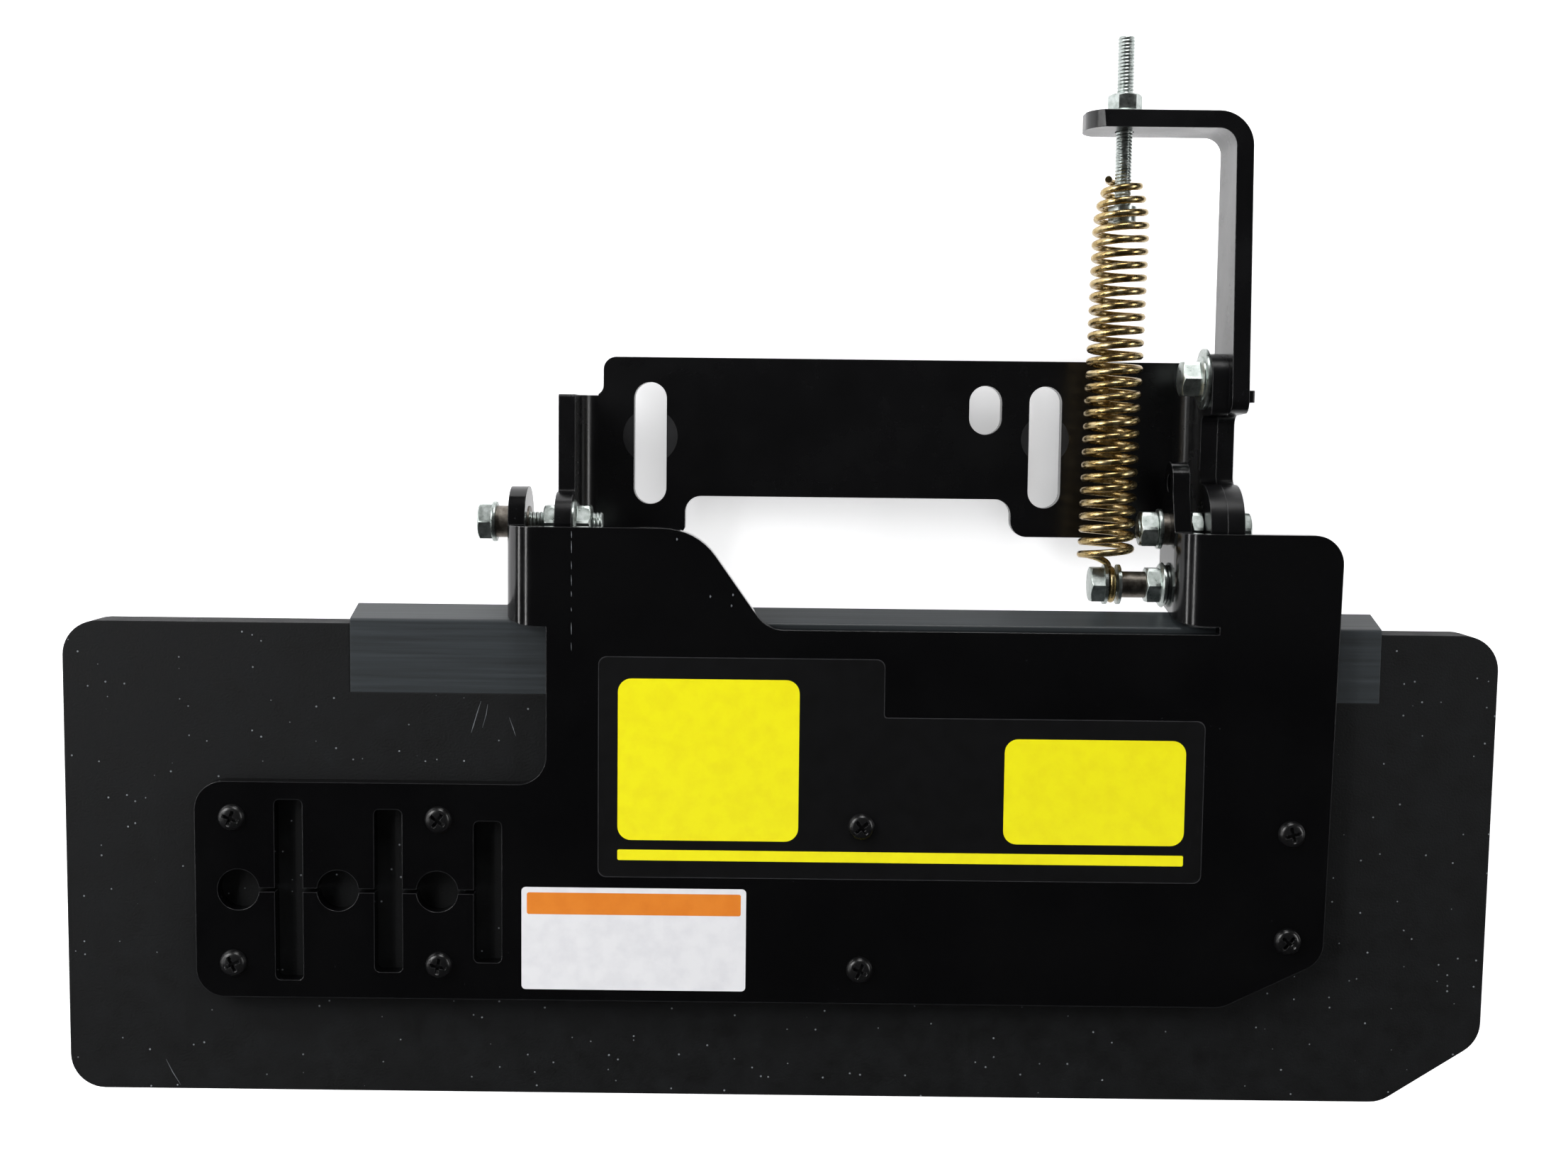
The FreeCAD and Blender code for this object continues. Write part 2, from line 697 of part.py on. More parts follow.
def make_flap_board():
    low = BOARD_TOP - size("board_height")
    corner = size("board_corner")
    board = outline([
        (BOARD_LEFT, low, corner), (BOARD_RIGHT - size("board_chamfer_wide"), low, corner),
        (BOARD_RIGHT - size("board_draft"), low + size("board_chamfer_tall"), corner),
        (BOARD_RIGHT, BOARD_TOP, corner), (BOARD_LEFT, BOARD_TOP, corner),
    ])
    holes = [circle(x, z, size("screw_radius") + size("thread_gap")) for x, z in screw_places()]
    blank = front_plate("board_blank", [board] + holes, PLATE_BACK_Y, size("board_thick"), "board_thick")
    # the strip's front leg lies flush in a rebate
    gap = size("rebate_gap")
    floor = BOARD_TOP + size("strip_front_rise") - size("strip_leg")
    rebate_loop = rectangle(STRIP_LEFT - gap, STRIP_RIGHT + gap, floor, BOARD_TOP + 1)
    rebate = front_plate("board_rebate", [rebate_loop], PLATE_BACK_Y - 1, size("strip_wall") + 1)
    return cut("flap_board", blank, rebate)


def make_edge_strip():
    """Angle section with a lip that rises towards the back."""
    front_top = BOARD_TOP + size("strip_front_rise")
    low = front_top - size("strip_leg")
    back_top = BOARD_TOP + size("strip_back_rise")
    wall = PLATE_BACK_Y + size("strip_wall")
    edge = size("strip_edge")
    section = outline([
        (PLATE_BACK_Y, low, 0), (PLATE_BACK_Y, front_top, edge), (BOARD_BACK_Y, back_top, edge),
        (BOARD_BACK_Y, BOARD_TOP, 0), (wall, BOARD_TOP, 0), (wall, low, 0),
    ])
    return side_plate("edge_strip", [section], STRIP_LEFT, STRIP_RIGHT - STRIP_LEFT)


def make_plate_screws():
    """Pan-head screws from the front and hexagon nuts on the board's back."""
    screws = []
    nuts = []
    back_end = BOARD_BACK_Y + size("screw_nut_thick") + size("screw_end")
    for i, (x, z) in enumerate(screw_places()):
        head_y = FACE_Y - size("screw_head_high")
        head = cylinder(f"screw_head_{i}", "screw_head_radius", Vector(x, head_y, z), size("screw_head_high"),
                        ALONG_Y)
        shank = cylinder(f"screw_shank_{i}", "screw_radius", Vector(x, FACE_Y - 1, z), back_end - FACE_Y + 1,
                         ALONG_Y)
        screws.append(fuse(f"screw_{i}", [head, shank]))
        hexa = hexagon(f"screw_nut_hex_{i}", "screw_nut_hex", Vector(x, BOARD_BACK_Y, z),
                       size("screw_nut_thick"), ALONG_Y)
        hole = cylinder(f"screw_nut_hole_{i}", "screw_radius", Vector(x, BOARD_BACK_Y, z),
                        size("screw_nut_thick"), ALONG_Y, size("thread_gap"))
        nuts.append(cut(f"screw_nut_{i}", hexa, hole))
    return [group("plate_screws", screws), group("board_nuts", nuts)]


def group(name, pieces):
    """Like fasteners kept as one group of separate solids."""
    bundle = doc.addObject("Part::Compound", name)
    bundle.Links = pieces
    return bundle


# Spring anchor

def at_anchor(x):
    return Vector(x, SPRING_Y, ANCHOR_Z)


def make_anchor():
    """Stack along the anchor bolt, from the flap's right ear to the head."""
    gap = size("thread_gap")
    thin = size("anchor_washer_thick")
    lock_start = FLAP_RIGHT_EAR - thin
    flange_nut_start = lock_start - size("nut_thick")
    spacer_start = flange_nut_start - size("anchor_spacer_long")
    loop_middle = size("rod_x") - size("loop_shift")
    right_washer = spacer_start - thin
    left_washer = loop_middle - size("wire") / 2 - size("loop_play") - thin
    head_start = left_washer - size("bolt_head")
    back_nut_start = FLAP_RIGHT_EAR + THICK
    washers = [
        ring("anchor_washer_left", "washer_radius", "bolt_radius", at_anchor(left_washer), thin, gap),
        ring("anchor_washer_right", "washer_radius", "bolt_radius", at_anchor(right_washer), thin, gap),
    ]
    return [
        bolt("anchor_bolt", SPRING_Y, ANCHOR_Z, head_start, head_start + 1,
             back_nut_start + size("jam_nut_thick") + size("loop_play")),
        group("anchor_washers", washers),
        ring("anchor_spacer", "anchor_spacer_radius", "bolt_radius", at_anchor(spacer_start),
             size("anchor_spacer_long"), gap),
        nut("anchor_flange_nut", at_anchor(flange_nut_start), size("nut_thick"), gap,
            lock_start - size("flange_thick")),
        ring("anchor_lock_washer", "washer_radius", "bolt_radius", at_anchor(lock_start), thin, gap),
        nut("anchor_back_nut", at_anchor(back_nut_start), size("jam_nut_thick"), gap),
    ]


# Tension rod and spring

def make_tension_rod():
    x = size("rod_x")
    top = size("arm_top")
    gap = size("thread_gap")
    rod = cylinder("tension_rod", "rod_radius", Vector(x, SPRING_Y, size("rod_bottom")),
                   size("rod_top") - size("rod_bottom"), PLAN)
    hexa = hexagon("rod_nut_hex", "rod_nut_hex", Vector(x, SPRING_Y, top), size("rod_nut_thick"), PLAN)
    flange = cylinder("rod_nut_flange", "washer_radius", Vector(x, SPRING_Y, top), size("flange_thick"), PLAN)
    body = fuse("rod_nut_body", [hexa, flange])
    hole = cylinder("rod_nut_hole", "rod_radius", Vector(x, SPRING_Y, top), size("rod_nut_thick"), PLAN, gap)
    plug = ring("spring_plug", "plug_radius", "rod_radius", Vector(x, SPRING_Y, size("rod_bottom") + 1),
                size("plug_thick"), gap, PLAN)
    return [rod, cut("rod_nut", body, hole), plug]


def spring_path():
    """Centre line of the wire: coned top turns, even body turns, then a hook round the anchor bolt."""
    wire = size("wire")
    body = size("coil_outer") - wire / 2
    tip = size("cone_top_radius")
    pitch = size("coil_pitch")
    cone = size("cone_turns")
    turns = size("coil_turns")
    x = size("rod_x")
    per_turn = 8
    start = size("spring_top") - wire / 2
    lean = size("spring_lean") / (start - ANCHOR_Z)
    points = []
    for i in range(int((cone + turns) * per_turn) + 1):
        turn = i / per_turn
        share = min(turn / cone, 1.0)
        radius = tip + (body - tip) * math.sin(share * math.pi / 2)
        angle = math.pi - 2 * math.pi * turn
        drop = pitch * turn
        points.append(Vector(x - lean * drop + radius * math.cos(angle), SPRING_Y + radius * math.sin(angle),
                             start - drop))
    coil_end = points[-1].z
    loop = size("bolt_radius") + wire / 2 + size("loop_play")
    loop_x = x - size("loop_shift")
    x = points[-1].x + body
    fall = coil_end - (ANCHOR_Z + loop)
    # the hook crosses above the left washer and then drops between the two washers
    points.append(Vector(x - 0.9 * body, SPRING_Y + 0.43 * body, coil_end - 0.05 * fall))
    points.append(Vector(x - 0.55 * body, SPRING_Y + 0.72 * body, coil_end - 0.15 * fall))
    points.append(Vector(x - 0.1 * body, SPRING_Y + 0.78 * body, coil_end - 0.38 * fall))
    points.append(Vector(loop_x, SPRING_Y + 0.72 * body, coil_end - 0.8 * fall))
    for i in range(10):
        angle = math.radians(15 - i * 32)
        points.append(Vector(loop_x, SPRING_Y + loop * math.cos(angle),
                             ANCHOR_Z + loop * math.sin(angle)))
    return points


def make_spring():
    """Six-sided wire swept along its centre line."""
    curve = Part.BSplineCurve()
    curve.interpolate(spring_path())
    path = Part.Wire(curve.toShape())
    start = curve.value(curve.FirstParameter)
    direction = curve.tangent(curve.FirstParameter)[0]
    sides = 6
    radius = size("wire") / 2
    turn = Rotation(Vector(0, 0, 1), direction)
    rim = []
    for i in range(sides + 1):
        angle = 2 * math.pi * (i % sides) / sides
        rim.append(start + turn.multVec(Vector(radius * math.cos(angle), radius * math.sin(angle), 0)))
    section = Part.makePolygon(rim)
    swept = path.makePipeShell([section], True, True)
    spring = doc.addObject("Part::Feature", "spring")
    spring.Shape = swept
    return spring


NODES = [
    make_hanger_plate(), make_spring_arm(), *make_arm_bolt(), *make_left_pivot(), *make_right_pivot(),
    make_flap_plate(), make_flap_board(), make_edge_strip(), *make_plate_screws(), *make_anchor(),
    *make_tension_rod(), make_spring(),
]
doc.recompute()


def check():
    """Stops before anything is written if an object failed or a sub-part is not a sound solid."""
    for item in doc.Objects:
        if "Invalid" in item.State or "Error" in item.State:
            raise RuntimeError("failed object: " + item.Label)
    for node in NODES:
        shape = node.Shape
        if shape.isNull() or not shape.isValid() or not shape.Solids:
            raise RuntimeError("unsound sub-part: " + node.Label)


check()
os.makedirs("parts", exist_ok=True)
for node in NODES:
    node.Shape.exportStep("parts/" + node.Label + ".step")
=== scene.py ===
import math

import bmesh
import bpy
from mathutils import Matrix, Vector


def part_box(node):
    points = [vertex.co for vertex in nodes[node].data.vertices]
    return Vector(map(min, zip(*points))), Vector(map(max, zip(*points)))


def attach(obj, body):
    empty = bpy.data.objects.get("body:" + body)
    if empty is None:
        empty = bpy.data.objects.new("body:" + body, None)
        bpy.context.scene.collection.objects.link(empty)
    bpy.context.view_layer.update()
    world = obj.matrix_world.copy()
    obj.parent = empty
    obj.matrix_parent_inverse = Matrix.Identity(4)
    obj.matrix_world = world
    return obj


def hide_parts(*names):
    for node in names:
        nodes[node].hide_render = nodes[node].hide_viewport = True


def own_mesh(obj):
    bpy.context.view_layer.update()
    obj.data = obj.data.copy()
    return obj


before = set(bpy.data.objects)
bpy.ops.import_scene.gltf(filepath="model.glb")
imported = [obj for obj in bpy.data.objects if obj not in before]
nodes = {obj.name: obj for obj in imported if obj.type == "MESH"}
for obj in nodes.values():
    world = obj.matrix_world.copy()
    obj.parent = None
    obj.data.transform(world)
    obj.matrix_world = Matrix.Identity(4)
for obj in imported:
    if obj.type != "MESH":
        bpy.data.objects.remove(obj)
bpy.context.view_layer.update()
scene = bpy.context.scene
scene.view_settings.view_transform = "Standard"

MM = 0.001

# Places and sizes that repeat the part's own, in millimetres
AXIS_Y, AXIS_Z = -33.0, -30.0
FACE_Y = -58.35
PLATE = 6.35
SPRING_Y = -31.0
ANCHOR_Z = -51.4
ARM_BOLT_Z = 26.6
ROD_X = 100.9
BOLT_RADIUS = 3.97
BOLT_PITCH = 1.41
BOLT_FLATS = 12.7
BOLT_HEAD = 5.3
ROD_RADIUS = 3.175
ROD_PITCH = 1.27
ROD_FLATS = 11.1
SMALL_WASHER = 7.6
ARM_WASHER = 11.4
SCREW_RADIUS = 2.4
SCREW_PITCH = 0.8
SCREW_FLATS = 9.5
SCREW_BORE = 2.43
WIRE = 2.7
COIL_RADIUS = 9.4

# Depths of the cut threads, and how much of a bolt or screw is left plain under its head
THREAD_DEPTH = 0.45
ROD_THREAD_DEPTH = 0.4
SCREW_THREAD_DEPTH = 0.3
PLAIN_SHANK = 8.0

# Radius at which a bolt head's own axis is closed, so that no face has zero area
PIN_HOLE = 0.01

# Thickness of a printed layer, and how far a scratch stands off its face to be seen
FIELD, LAYER = 0.06, 0.05
STICKER = 2 * FIELD
PROUD = 0.03


# Colour and node helpers

def linear(hexcode):
    """sRGB hex colour as linear red, green, blue and alpha."""
    channels = [int(hexcode[i:i + 2], 16) / 255 for i in (1, 3, 5)]
    return [c / 12.92 if c <= 0.04045 else ((c + 0.055) / 1.055) ** 2.4 for c in channels] + [1.0]


def add(tree, kind, settings=None, inputs=None):
    """Adds a node; inputs are values, or (node, output name) links."""
    node = tree.nodes.new(kind)
    for key, value in (settings or {}).items():
        setattr(node, key, value)
    for key, value in (inputs or {}).items():
        if isinstance(value, tuple) and len(value) == 2 and hasattr(value[0], "outputs"):
            tree.links.new(value[0].outputs[value[1]], node.inputs[key])
        else:
            node.inputs[key].default_value = value
    return node


def empty_material(name):
    """Material with no nodes yet, and its tree."""
    material = bpy.data.materials.new(name)
    material.use_nodes = True
    tree = material.node_tree
    tree.nodes.clear()
    return material, tree


def new_material(name):
    """Material with its tree, its surface shader and its coordinates in metres."""
    material, tree = empty_material(name)
    shader = add(tree, "ShaderNodeBsdfPrincipled")
    add(tree, "ShaderNodeOutputMaterial", inputs={"Surface": (shader, "BSDF")})
    place = add(tree, "ShaderNodeTexCoord")
    return material, tree, shader, place


def ramp(tree, source, output, stops):
    """Colour ramp over a value, with stops as (position, hex colour)."""
    node = add(tree, "ShaderNodeValToRGB", inputs={"Fac": (source, output)})
    elements = node.color_ramp.elements
    while len(elements) < len(stops):
        elements.new(0.5)
    for element, (position, colour) in zip(elements, stops):
        element.position = position
        element.color = linear(colour)
    return node


def per_mm(pitch):
    """Texture scale for a pattern that repeats every so many millimetres."""
    return 1000.0 / pitch


# Materials

def powder_coat(name, base, worn, rough_low, rough_high, edge):
    """Black polyester powder coat over laser-cut plate: a deep gloss with orange peel, faint dust
    and a painted highlight of lighter grey along its edges."""
    material, tree, shader, place = new_material(name)
    cloud = add(tree, "ShaderNodeTexNoise", inputs={
        "Vector": (place, "Object"), "Scale": per_mm(34.0), "Detail": 5.0, "Roughness": 0.6})
    shade = ramp(tree, cloud, "Fac", [(0.3, base), (0.75, worn)])
    # dust specks about a third of a millimetre across
    dust = add(tree, "ShaderNodeTexNoise", inputs={
        "Vector": (place, "Object"), "Scale": per_mm(0.9), "Detail": 2.0})
    flecks = add(tree, "ShaderNodeMapRange", inputs={
        "Value": (dust, "Fac"), "From Min": 0.72, "From Max": 0.8, "To Min": 0.0, "To Max": 0.3})
    dusty = add(tree, "ShaderNodeMix", {"data_type": "RGBA"})
    tree.links.new(flecks.outputs["Result"], dusty.inputs[0])
    tree.links.new(shade.outputs["Color"], dusty.inputs[6])
    dusty.inputs[7].default_value = linear("#4A4C50")
    # painted highlight: the coat is painted lighter grey where a plate's face turns into its cut
    # edge
    rounded = add(tree, "ShaderNodeBevel", {"samples": 4}, {"Radius": edge * MM})
    facet = add(tree, "ShaderNodeNewGeometry")
    agree = add(tree, "ShaderNodeVectorMath", {"operation": "DOT_PRODUCT"},
                {0: (rounded, "Normal"), 1: (facet, "Normal")})
    rim = add(tree, "ShaderNodeMapRange", inputs={
        "Value": (agree, "Value"), "From Min": 0.97, "From Max": 0.86, "To Min": 0.0,
        "To Max": 0.55})
    edge_highlighted = add(tree, "ShaderNodeMix", {"data_type": "RGBA"})
    tree.links.new(rim.outputs["Result"], edge_highlighted.inputs[0])
    tree.links.new(dusty.outputs[2], edge_highlighted.inputs[6])
    edge_highlighted.inputs[7].default_value = linear("#5C5C5E")
    tree.links.new(edge_highlighted.outputs[2], shader.inputs["Base Color"])
    rough = add(tree, "ShaderNodeMapRange", inputs={
        "Value": (cloud, "Fac"), "From Min": 0.3, "From Max": 0.7, "To Min": rough_low,
        "To Max": rough_high})
    tree.links.new(rough.outputs["Result"], shader.inputs["Roughness"])
    # orange peel is about 1.5 mm across
    peel = add(tree, "ShaderNodeTexNoise", inputs={
        "Vector": (place, "Object"), "Scale": per_mm(1.5), "Detail": 1.0})
    bump = add(tree, "ShaderNodeBump", inputs={
        "Height": (peel, "Fac"), "Strength": 0.03, "Distance": 0.0003,
        "Normal": (rounded, "Normal")})
    tree.links.new(bump.outputs["Normal"], shader.inputs["Normal"])
    return material


def recycled_sheet():
    """Pressed recycled rubber and plastic sheet: matt black, mottled, with pale chopped flecks."""
    material, tree, shader, place = new_material("pressed_recycled_sheet")
    mottle = add(tree, "ShaderNodeTexNoise", inputs={
        "Vector": (place, "Object"), "Scale": per_mm(9.0), "Detail": 8.0, "Roughness": 0.7})
    base = ramp(tree, mottle, "Fac", [(0.35, "#060708"), (0.62, "#0D0F11"), (0.8, "#16191B")])
    # one cell in four or so holds a fleck, each of its own brightness
    cells = add(tree, "ShaderNodeTexVoronoi", {"feature": "F1"}, {
        "Vector": (place, "Object"), "Scale": per_mm(3.4), "Randomness": 1.0})
    near = add(tree, "ShaderNodeMath", {"operation": "LESS_THAN"},
               {0: (cells, "Distance"), 1: 0.105})
    chance = add(tree, "ShaderNodeSeparateColor", inputs={"Color": (cells, "Color")})
    picked = add(tree, "ShaderNodeMath", {"operation": "GREATER_THAN"},
                 {0: (chance, "Red"), 1: 0.72})
    fleck = add(tree, "ShaderNodeMath", {"operation": "MULTIPLY"}, {0: (near, 0), 1: (picked, 0)})
    tone = add(tree, "ShaderNodeMath", {"operation": "MULTIPLY"},
               {0: (fleck, 0), 1: (chance, "Green")})
    mix = add(tree, "ShaderNodeMix", {"data_type": "RGBA"})
    tree.links.new(tone.outputs[0], mix.inputs[0])
    tree.links.new(base.outputs["Color"], mix.inputs[6])
    mix.inputs[7].default_value = linear("#8F9498")
    tree.links.new(mix.outputs[2], shader.inputs["Base Color"])
    grain = add(tree, "ShaderNodeTexNoise", inputs={
        "Vector": (place, "Object"), "Scale": per_mm(0.8), "Detail": 4.0})
    rough = add(tree, "ShaderNodeMapRange", inputs={
        "Value": (mottle, "Fac"), "From Min": 0.3, "From Max": 0.7, "To Min": 0.62,
        "To Max": 0.82})
    tree.links.new(rough.outputs["Result"], shader.inputs["Roughness"])
    rounded = add(tree, "ShaderNodeBevel", {"samples": 4}, {"Radius": 0.9 * MM})
    bump = add(tree, "ShaderNodeBump", inputs={
        "Height": (grain, "Fac"), "Strength": 0.35, "Distance": 0.0005,
        "Normal": (rounded, "Normal")})
    tree.links.new(bump.outputs["Normal"], shader.inputs["Normal"])
    shader.inputs["Specular IOR Level"].default_value = 0.35
    return material


def extruded_plastic():
    """Dark grey extruded PVC: satin, with fine die lines along its length."""
    material, tree, shader, place = new_material("extruded_grey_pvc")
    stretch = add(tree, "ShaderNodeMapping", inputs={
        "Vector": (place, "Object"), "Scale": (0.02, 1.0, 1.0)})
    lines = add(tree, "ShaderNodeTexNoise", inputs={
        "Vector": (stretch, "Vector"), "Scale": per_mm(1.4), "Detail": 3.0})
    base = ramp(tree, lines, "Fac", [(0.3, "#2C3032"), (0.55, "#33383B"), (0.8, "#3C4144")])
    tree.links.new(base.outputs["Color"], shader.inputs["Base Color"])
    shader.inputs["Roughness"].default_value = 0.42
    rounded = add(tree, "ShaderNodeBevel", {"samples": 4}, {"Radius": 0.5 * MM})
    bump = add(tree, "ShaderNodeBump", inputs={
        "Height": (lines, "Fac"), "Strength": 0.2, "Distance": 0.0003,
        "Normal": (rounded, "Normal")})
    tree.links.new(bump.outputs["Normal"], shader.inputs["Normal"])
    return material


def plated_steel(name, dark, middle, light, rough_low, rough_high, blotch):
    """Zinc-plated or oiled steel: a soft metal sheen, blotched by the passivation, with fine
    tool lines."""
    material, tree, shader, place = new_material(name)
    cloud = add(tree, "ShaderNodeTexNoise", inputs={
        "Vector": (place, "Object"), "Scale": per_mm(blotch), "Detail": 6.0, "Roughness": 0.65})
    base = ramp(tree, cloud, "Fac", [(0.28, dark), (0.5, middle), (0.72, light)])
    tree.links.new(base.outputs["Color"], shader.inputs["Base Color"])
    shader.inputs["Metallic"].default_value = 1.0
    rough = add(tree, "ShaderNodeMapRange", inputs={
        "Value": (cloud, "Fac"), "From Min": 0.3, "From Max": 0.7, "To Min": rough_low,
        "To Max": rough_high})
    tree.links.new(rough.outputs["Result"], shader.inputs["Roughness"])
    grain = add(tree, "ShaderNodeTexNoise", inputs={
        "Vector": (place, "Object"), "Scale": per_mm(0.35), "Detail": 2.0})
    bump = add(tree, "ShaderNodeBump", inputs={
        "Height": (grain, "Fac"), "Strength": 0.15, "Distance": 0.0001})
    tree.links.new(bump.outputs["Normal"], shader.inputs["Normal"])
    return material


def printed_film(name, colour, shade, rough):
    """Printed vinyl film: flat ink under a thin clear face, with a faint print grain."""
    material, tree, shader, place = new_material(name)
    grain = add(tree, "ShaderNodeTexNoise", inputs={
        "Vector": (place, "Object"), "Scale": per_mm(6.0), "Detail": 4.0})
    base = ramp(tree, grain, "Fac", [(0.3, shade), (0.6, colour)])
    tree.links.new(base.outputs["Color"], shader.inputs["Base Color"])
    shader.inputs["Roughness"].default_value = rough
    ripple = add(tree, "ShaderNodeTexNoise", inputs={
        "Vector": (place, "Object"), "Scale": per_mm(14.0), "Detail": 1.0})
    bump = add(tree, "ShaderNodeBump", inputs={
        "Height": (ripple, "Fac"), "Strength": 0.1, "Distance": 0.0005})
    tree.links.new(bump.outputs["Normal"], shader.inputs["Normal"])
    return material


GLOSS_BLACK = powder_coat("gloss_black_powder_coat", "#040405", "#080809", 0.1, 0.18, 0.45)
SATIN_BLACK = powder_coat("satin_black_powder_coat", "#060607", "#0C0C0E", 0.2, 0.32, 0.45)
BOARD = recycled_sheet()
STRIP = extruded_plastic()
ZINC = plated_steel("bright_zinc_plate", "#8C9590", "#B4BCB8", "#D6DCDA", 0.24, 0.42, 3.0)
SPRING_ZINC = plated_steel(
    "yellow_zinc_spring_wire", "#7C6438", "#B29A68", "#E0D0A6", 0.2, 0.34, 4.0)
OILED = plated_steel("oiled_plain_steel", "#5A544C", "#7A746C", "#98938B", 0.34, 0.5, 2.5)
BLACK_SCREW = powder_coat("black_oxide_screw", "#0A0A0B", "#151516", 0.22, 0.34, 0.12)
BLACK_FILM = printed_film("black_vinyl_film", "#0B0B0D", "#070708", 0.38)
YELLOW_FILM = printed_film("yellow_vinyl_film", "#FFF600", "#FAEE00", 0.34)
WHITE_FILM = printed_film("white_vinyl_film", "#F1F1F3", "#E9E9EC", 0.34)
ORANGE_FILM = printed_film("orange_vinyl_film", "#F08A24", "#EA821C", 0.34)
PALE_SCUFF = printed_film("pale_scuff", "#6E7276", "#505458", 0.7)
RUBBED_COAT = printed_film("rubbed_powder_coat", "#232325", "#19191A", 0.5)
FILM_EDGE = printed_film("clear_film_edge", "#3A3A3C", "#303032", 0.3)


# Mesh helpers

def mesh_object(name, verts, faces, material, smooth=True):
    """One piece from its points in metres and its faces."""
    mesh = bpy.data.meshes.new(name)
    mesh.from_pydata([tuple(v) for v in verts], [], faces)
    mesh.update()
    piece = bpy.data.objects.new(name, mesh)
    scene.collection.objects.link(piece)
    mesh.materials.append(material)
    for polygon in mesh.polygons:
        polygon.use_smooth = smooth
    return piece


def clean(piece, sharp_degrees=35.0):
    """Merges doubles, turns faces outwards and keeps hard corners sharp."""
    sharp = math.radians(sharp_degrees)
    bm = bmesh.new()
    bm.from_mesh(piece.data)
    bmesh.ops.remove_doubles(bm, verts=bm.verts, dist=1e-7)
    bmesh.ops.recalc_face_normals(bm, faces=bm.faces)
    for edge in bm.edges:
        edge.smooth = not (edge.is_manifold and edge.calc_face_angle(0.0) > sharp)
    bm.to_mesh(piece.data)
    bm.free()
    return piece


# Turns local (along, across, up) into the frame for a thing that lies along X, Y or Z
ALONG = {
    "x": Matrix(((1, 0, 0), (0, 1, 0), (0, 0, 1))),
    "y": Matrix(((0, 0, 1), (1, 0, 0), (0, 1, 0))),
    "z": Matrix(((0, 1, 0), (0, 0, 1), (1, 0, 0))),
}


def round_point(axis, start, along, reach, angle):
    """Point in metres at a distance along an axis and a reach from it."""
    local = Vector((along, reach * math.cos(angle), reach * math.sin(angle)))
    return (ALONG[axis] @ local + Vector(start)) * MM


def hex_limit(angle, flats):
    """Distance from the axis to the side of a hexagon at an angle."""
    sixth = math.pi / 3
    offset = (angle % sixth) - sixth / 2
    return flats / 2 / math.cos(offset)


def turned(name, profile, start, material, axis="x", flats=None, segments=72):
    """Closed profile of (along, radius) in millimetres, turned about its axis; flats cut a
    hexagon and leave the bore round."""
    verts = []
    faces = []
    count = len(profile)
    for i in range(segments):
        angle = 2 * math.pi * i / segments
        for along, radius in profile:
            cut = flats and radius > flats / 2 * 0.8
            reach = min(radius, hex_limit(angle, flats)) if cut else radius
            verts.append(round_point(axis, start, along, reach, angle))
    for i in range(segments):
        this, following = i * count, ((i + 1) % segments) * count
        for j in range(count):
            k = (j + 1) % count
            faces.append((this + j, this + k, following + k, following + j))
    return clean(mesh_object(name, verts, faces, material))


def hex_profile(length, flats, bore, chamfer_ends=(True, True)):
    """Profile of a hexagon whose ends are chamfered at 30 degrees."""
    corner = flats / math.sqrt(3) + 0.05
    inner = flats / 2 * 0.95
    drop = (corner - inner) * math.tan(math.radians(30))
    steps = 5
    points = [(0.0, bore)]
    if chamfer_ends[0]:
        points += [(drop * k / steps, inner + (corner - inner) * k / steps)
                   for k in range(steps + 1)]
    else:
        points += [(0.0, corner)]
    if chamfer_ends[1]:
        points += [(length - drop * (steps - k) / steps, corner - (corner - inner) * k / steps)
                   for k in range(steps + 1)]
    else:
        points += [(length, corner)]
    points.append((length, bore))
    return points


def washer_profile(length, radius, bore):
    """Profile of a punched washer with rounded rims."""
    edge = min(0.25, length / 4)
    rolled = edge * 0.3
    return [(0, bore), (0, radius - edge), (rolled, radius - rolled), (edge, radius),
            (length - edge, radius), (length - rolled, radius - rolled), (length, radius - edge),
            (length, bore)]


def threaded_bar(name, radius, pitch, start, length, material, axis="x", plain=0.0,
                 depth=THREAD_DEPTH):
    """Bar with a real helical thread from its far end back to a plain length."""
    around = 28
    per_turn = 8
    end_length, tip, rise = 0.6, 0.78, 0.22
    rows = max(int(length / pitch * per_turn), 8)
    verts = []
    faces = []
    for j in range(rows + 1):
        along = length * j / rows
        taper = min(1.0, (length - along) / end_length * 0.5 + 0.5)
        for i in range(around):
            phase = (along / pitch - i / around) % 1.0
            groove = (1 - abs(2 * phase - 1)) * depth if along > plain else 0.0
            reach = min(radius - groove, radius * (tip + rise * taper))
            verts.append(round_point(axis, start, along, reach, 2 * math.pi * i / around))
    for j in range(rows):
        for i in range(around):
            a, b = j * around + i, j * around + (i + 1) % around
            faces.append((a, b, b + around, a + around))
    faces.append(tuple(range(around))[::-1])
    faces.append(tuple(rows * around + i for i in range(around)))
    return clean(mesh_object(name, verts, faces, material), 60.0)


def join(name, pieces):
    """One piece out of several meshes that belong together."""
    bpy.ops.object.select_all(action="DESELECT")
    for piece in pieces:
        piece.select_set(True)
    bpy.context.view_layer.objects.active = pieces[0]
    bpy.ops.object.join()
    pieces[0].name = name
    return pieces[0]


def dress(piece, node, body):
    """Lets a detailed piece stand for a CAD node on its body."""
    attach(piece, body)
    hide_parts(node)


def node_span(node, axis):
    """Where a CAD node starts and ends along an axis, in millimetres."""
    low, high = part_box(node)
    return low[axis] / MM, high[axis] / MM


# Fasteners

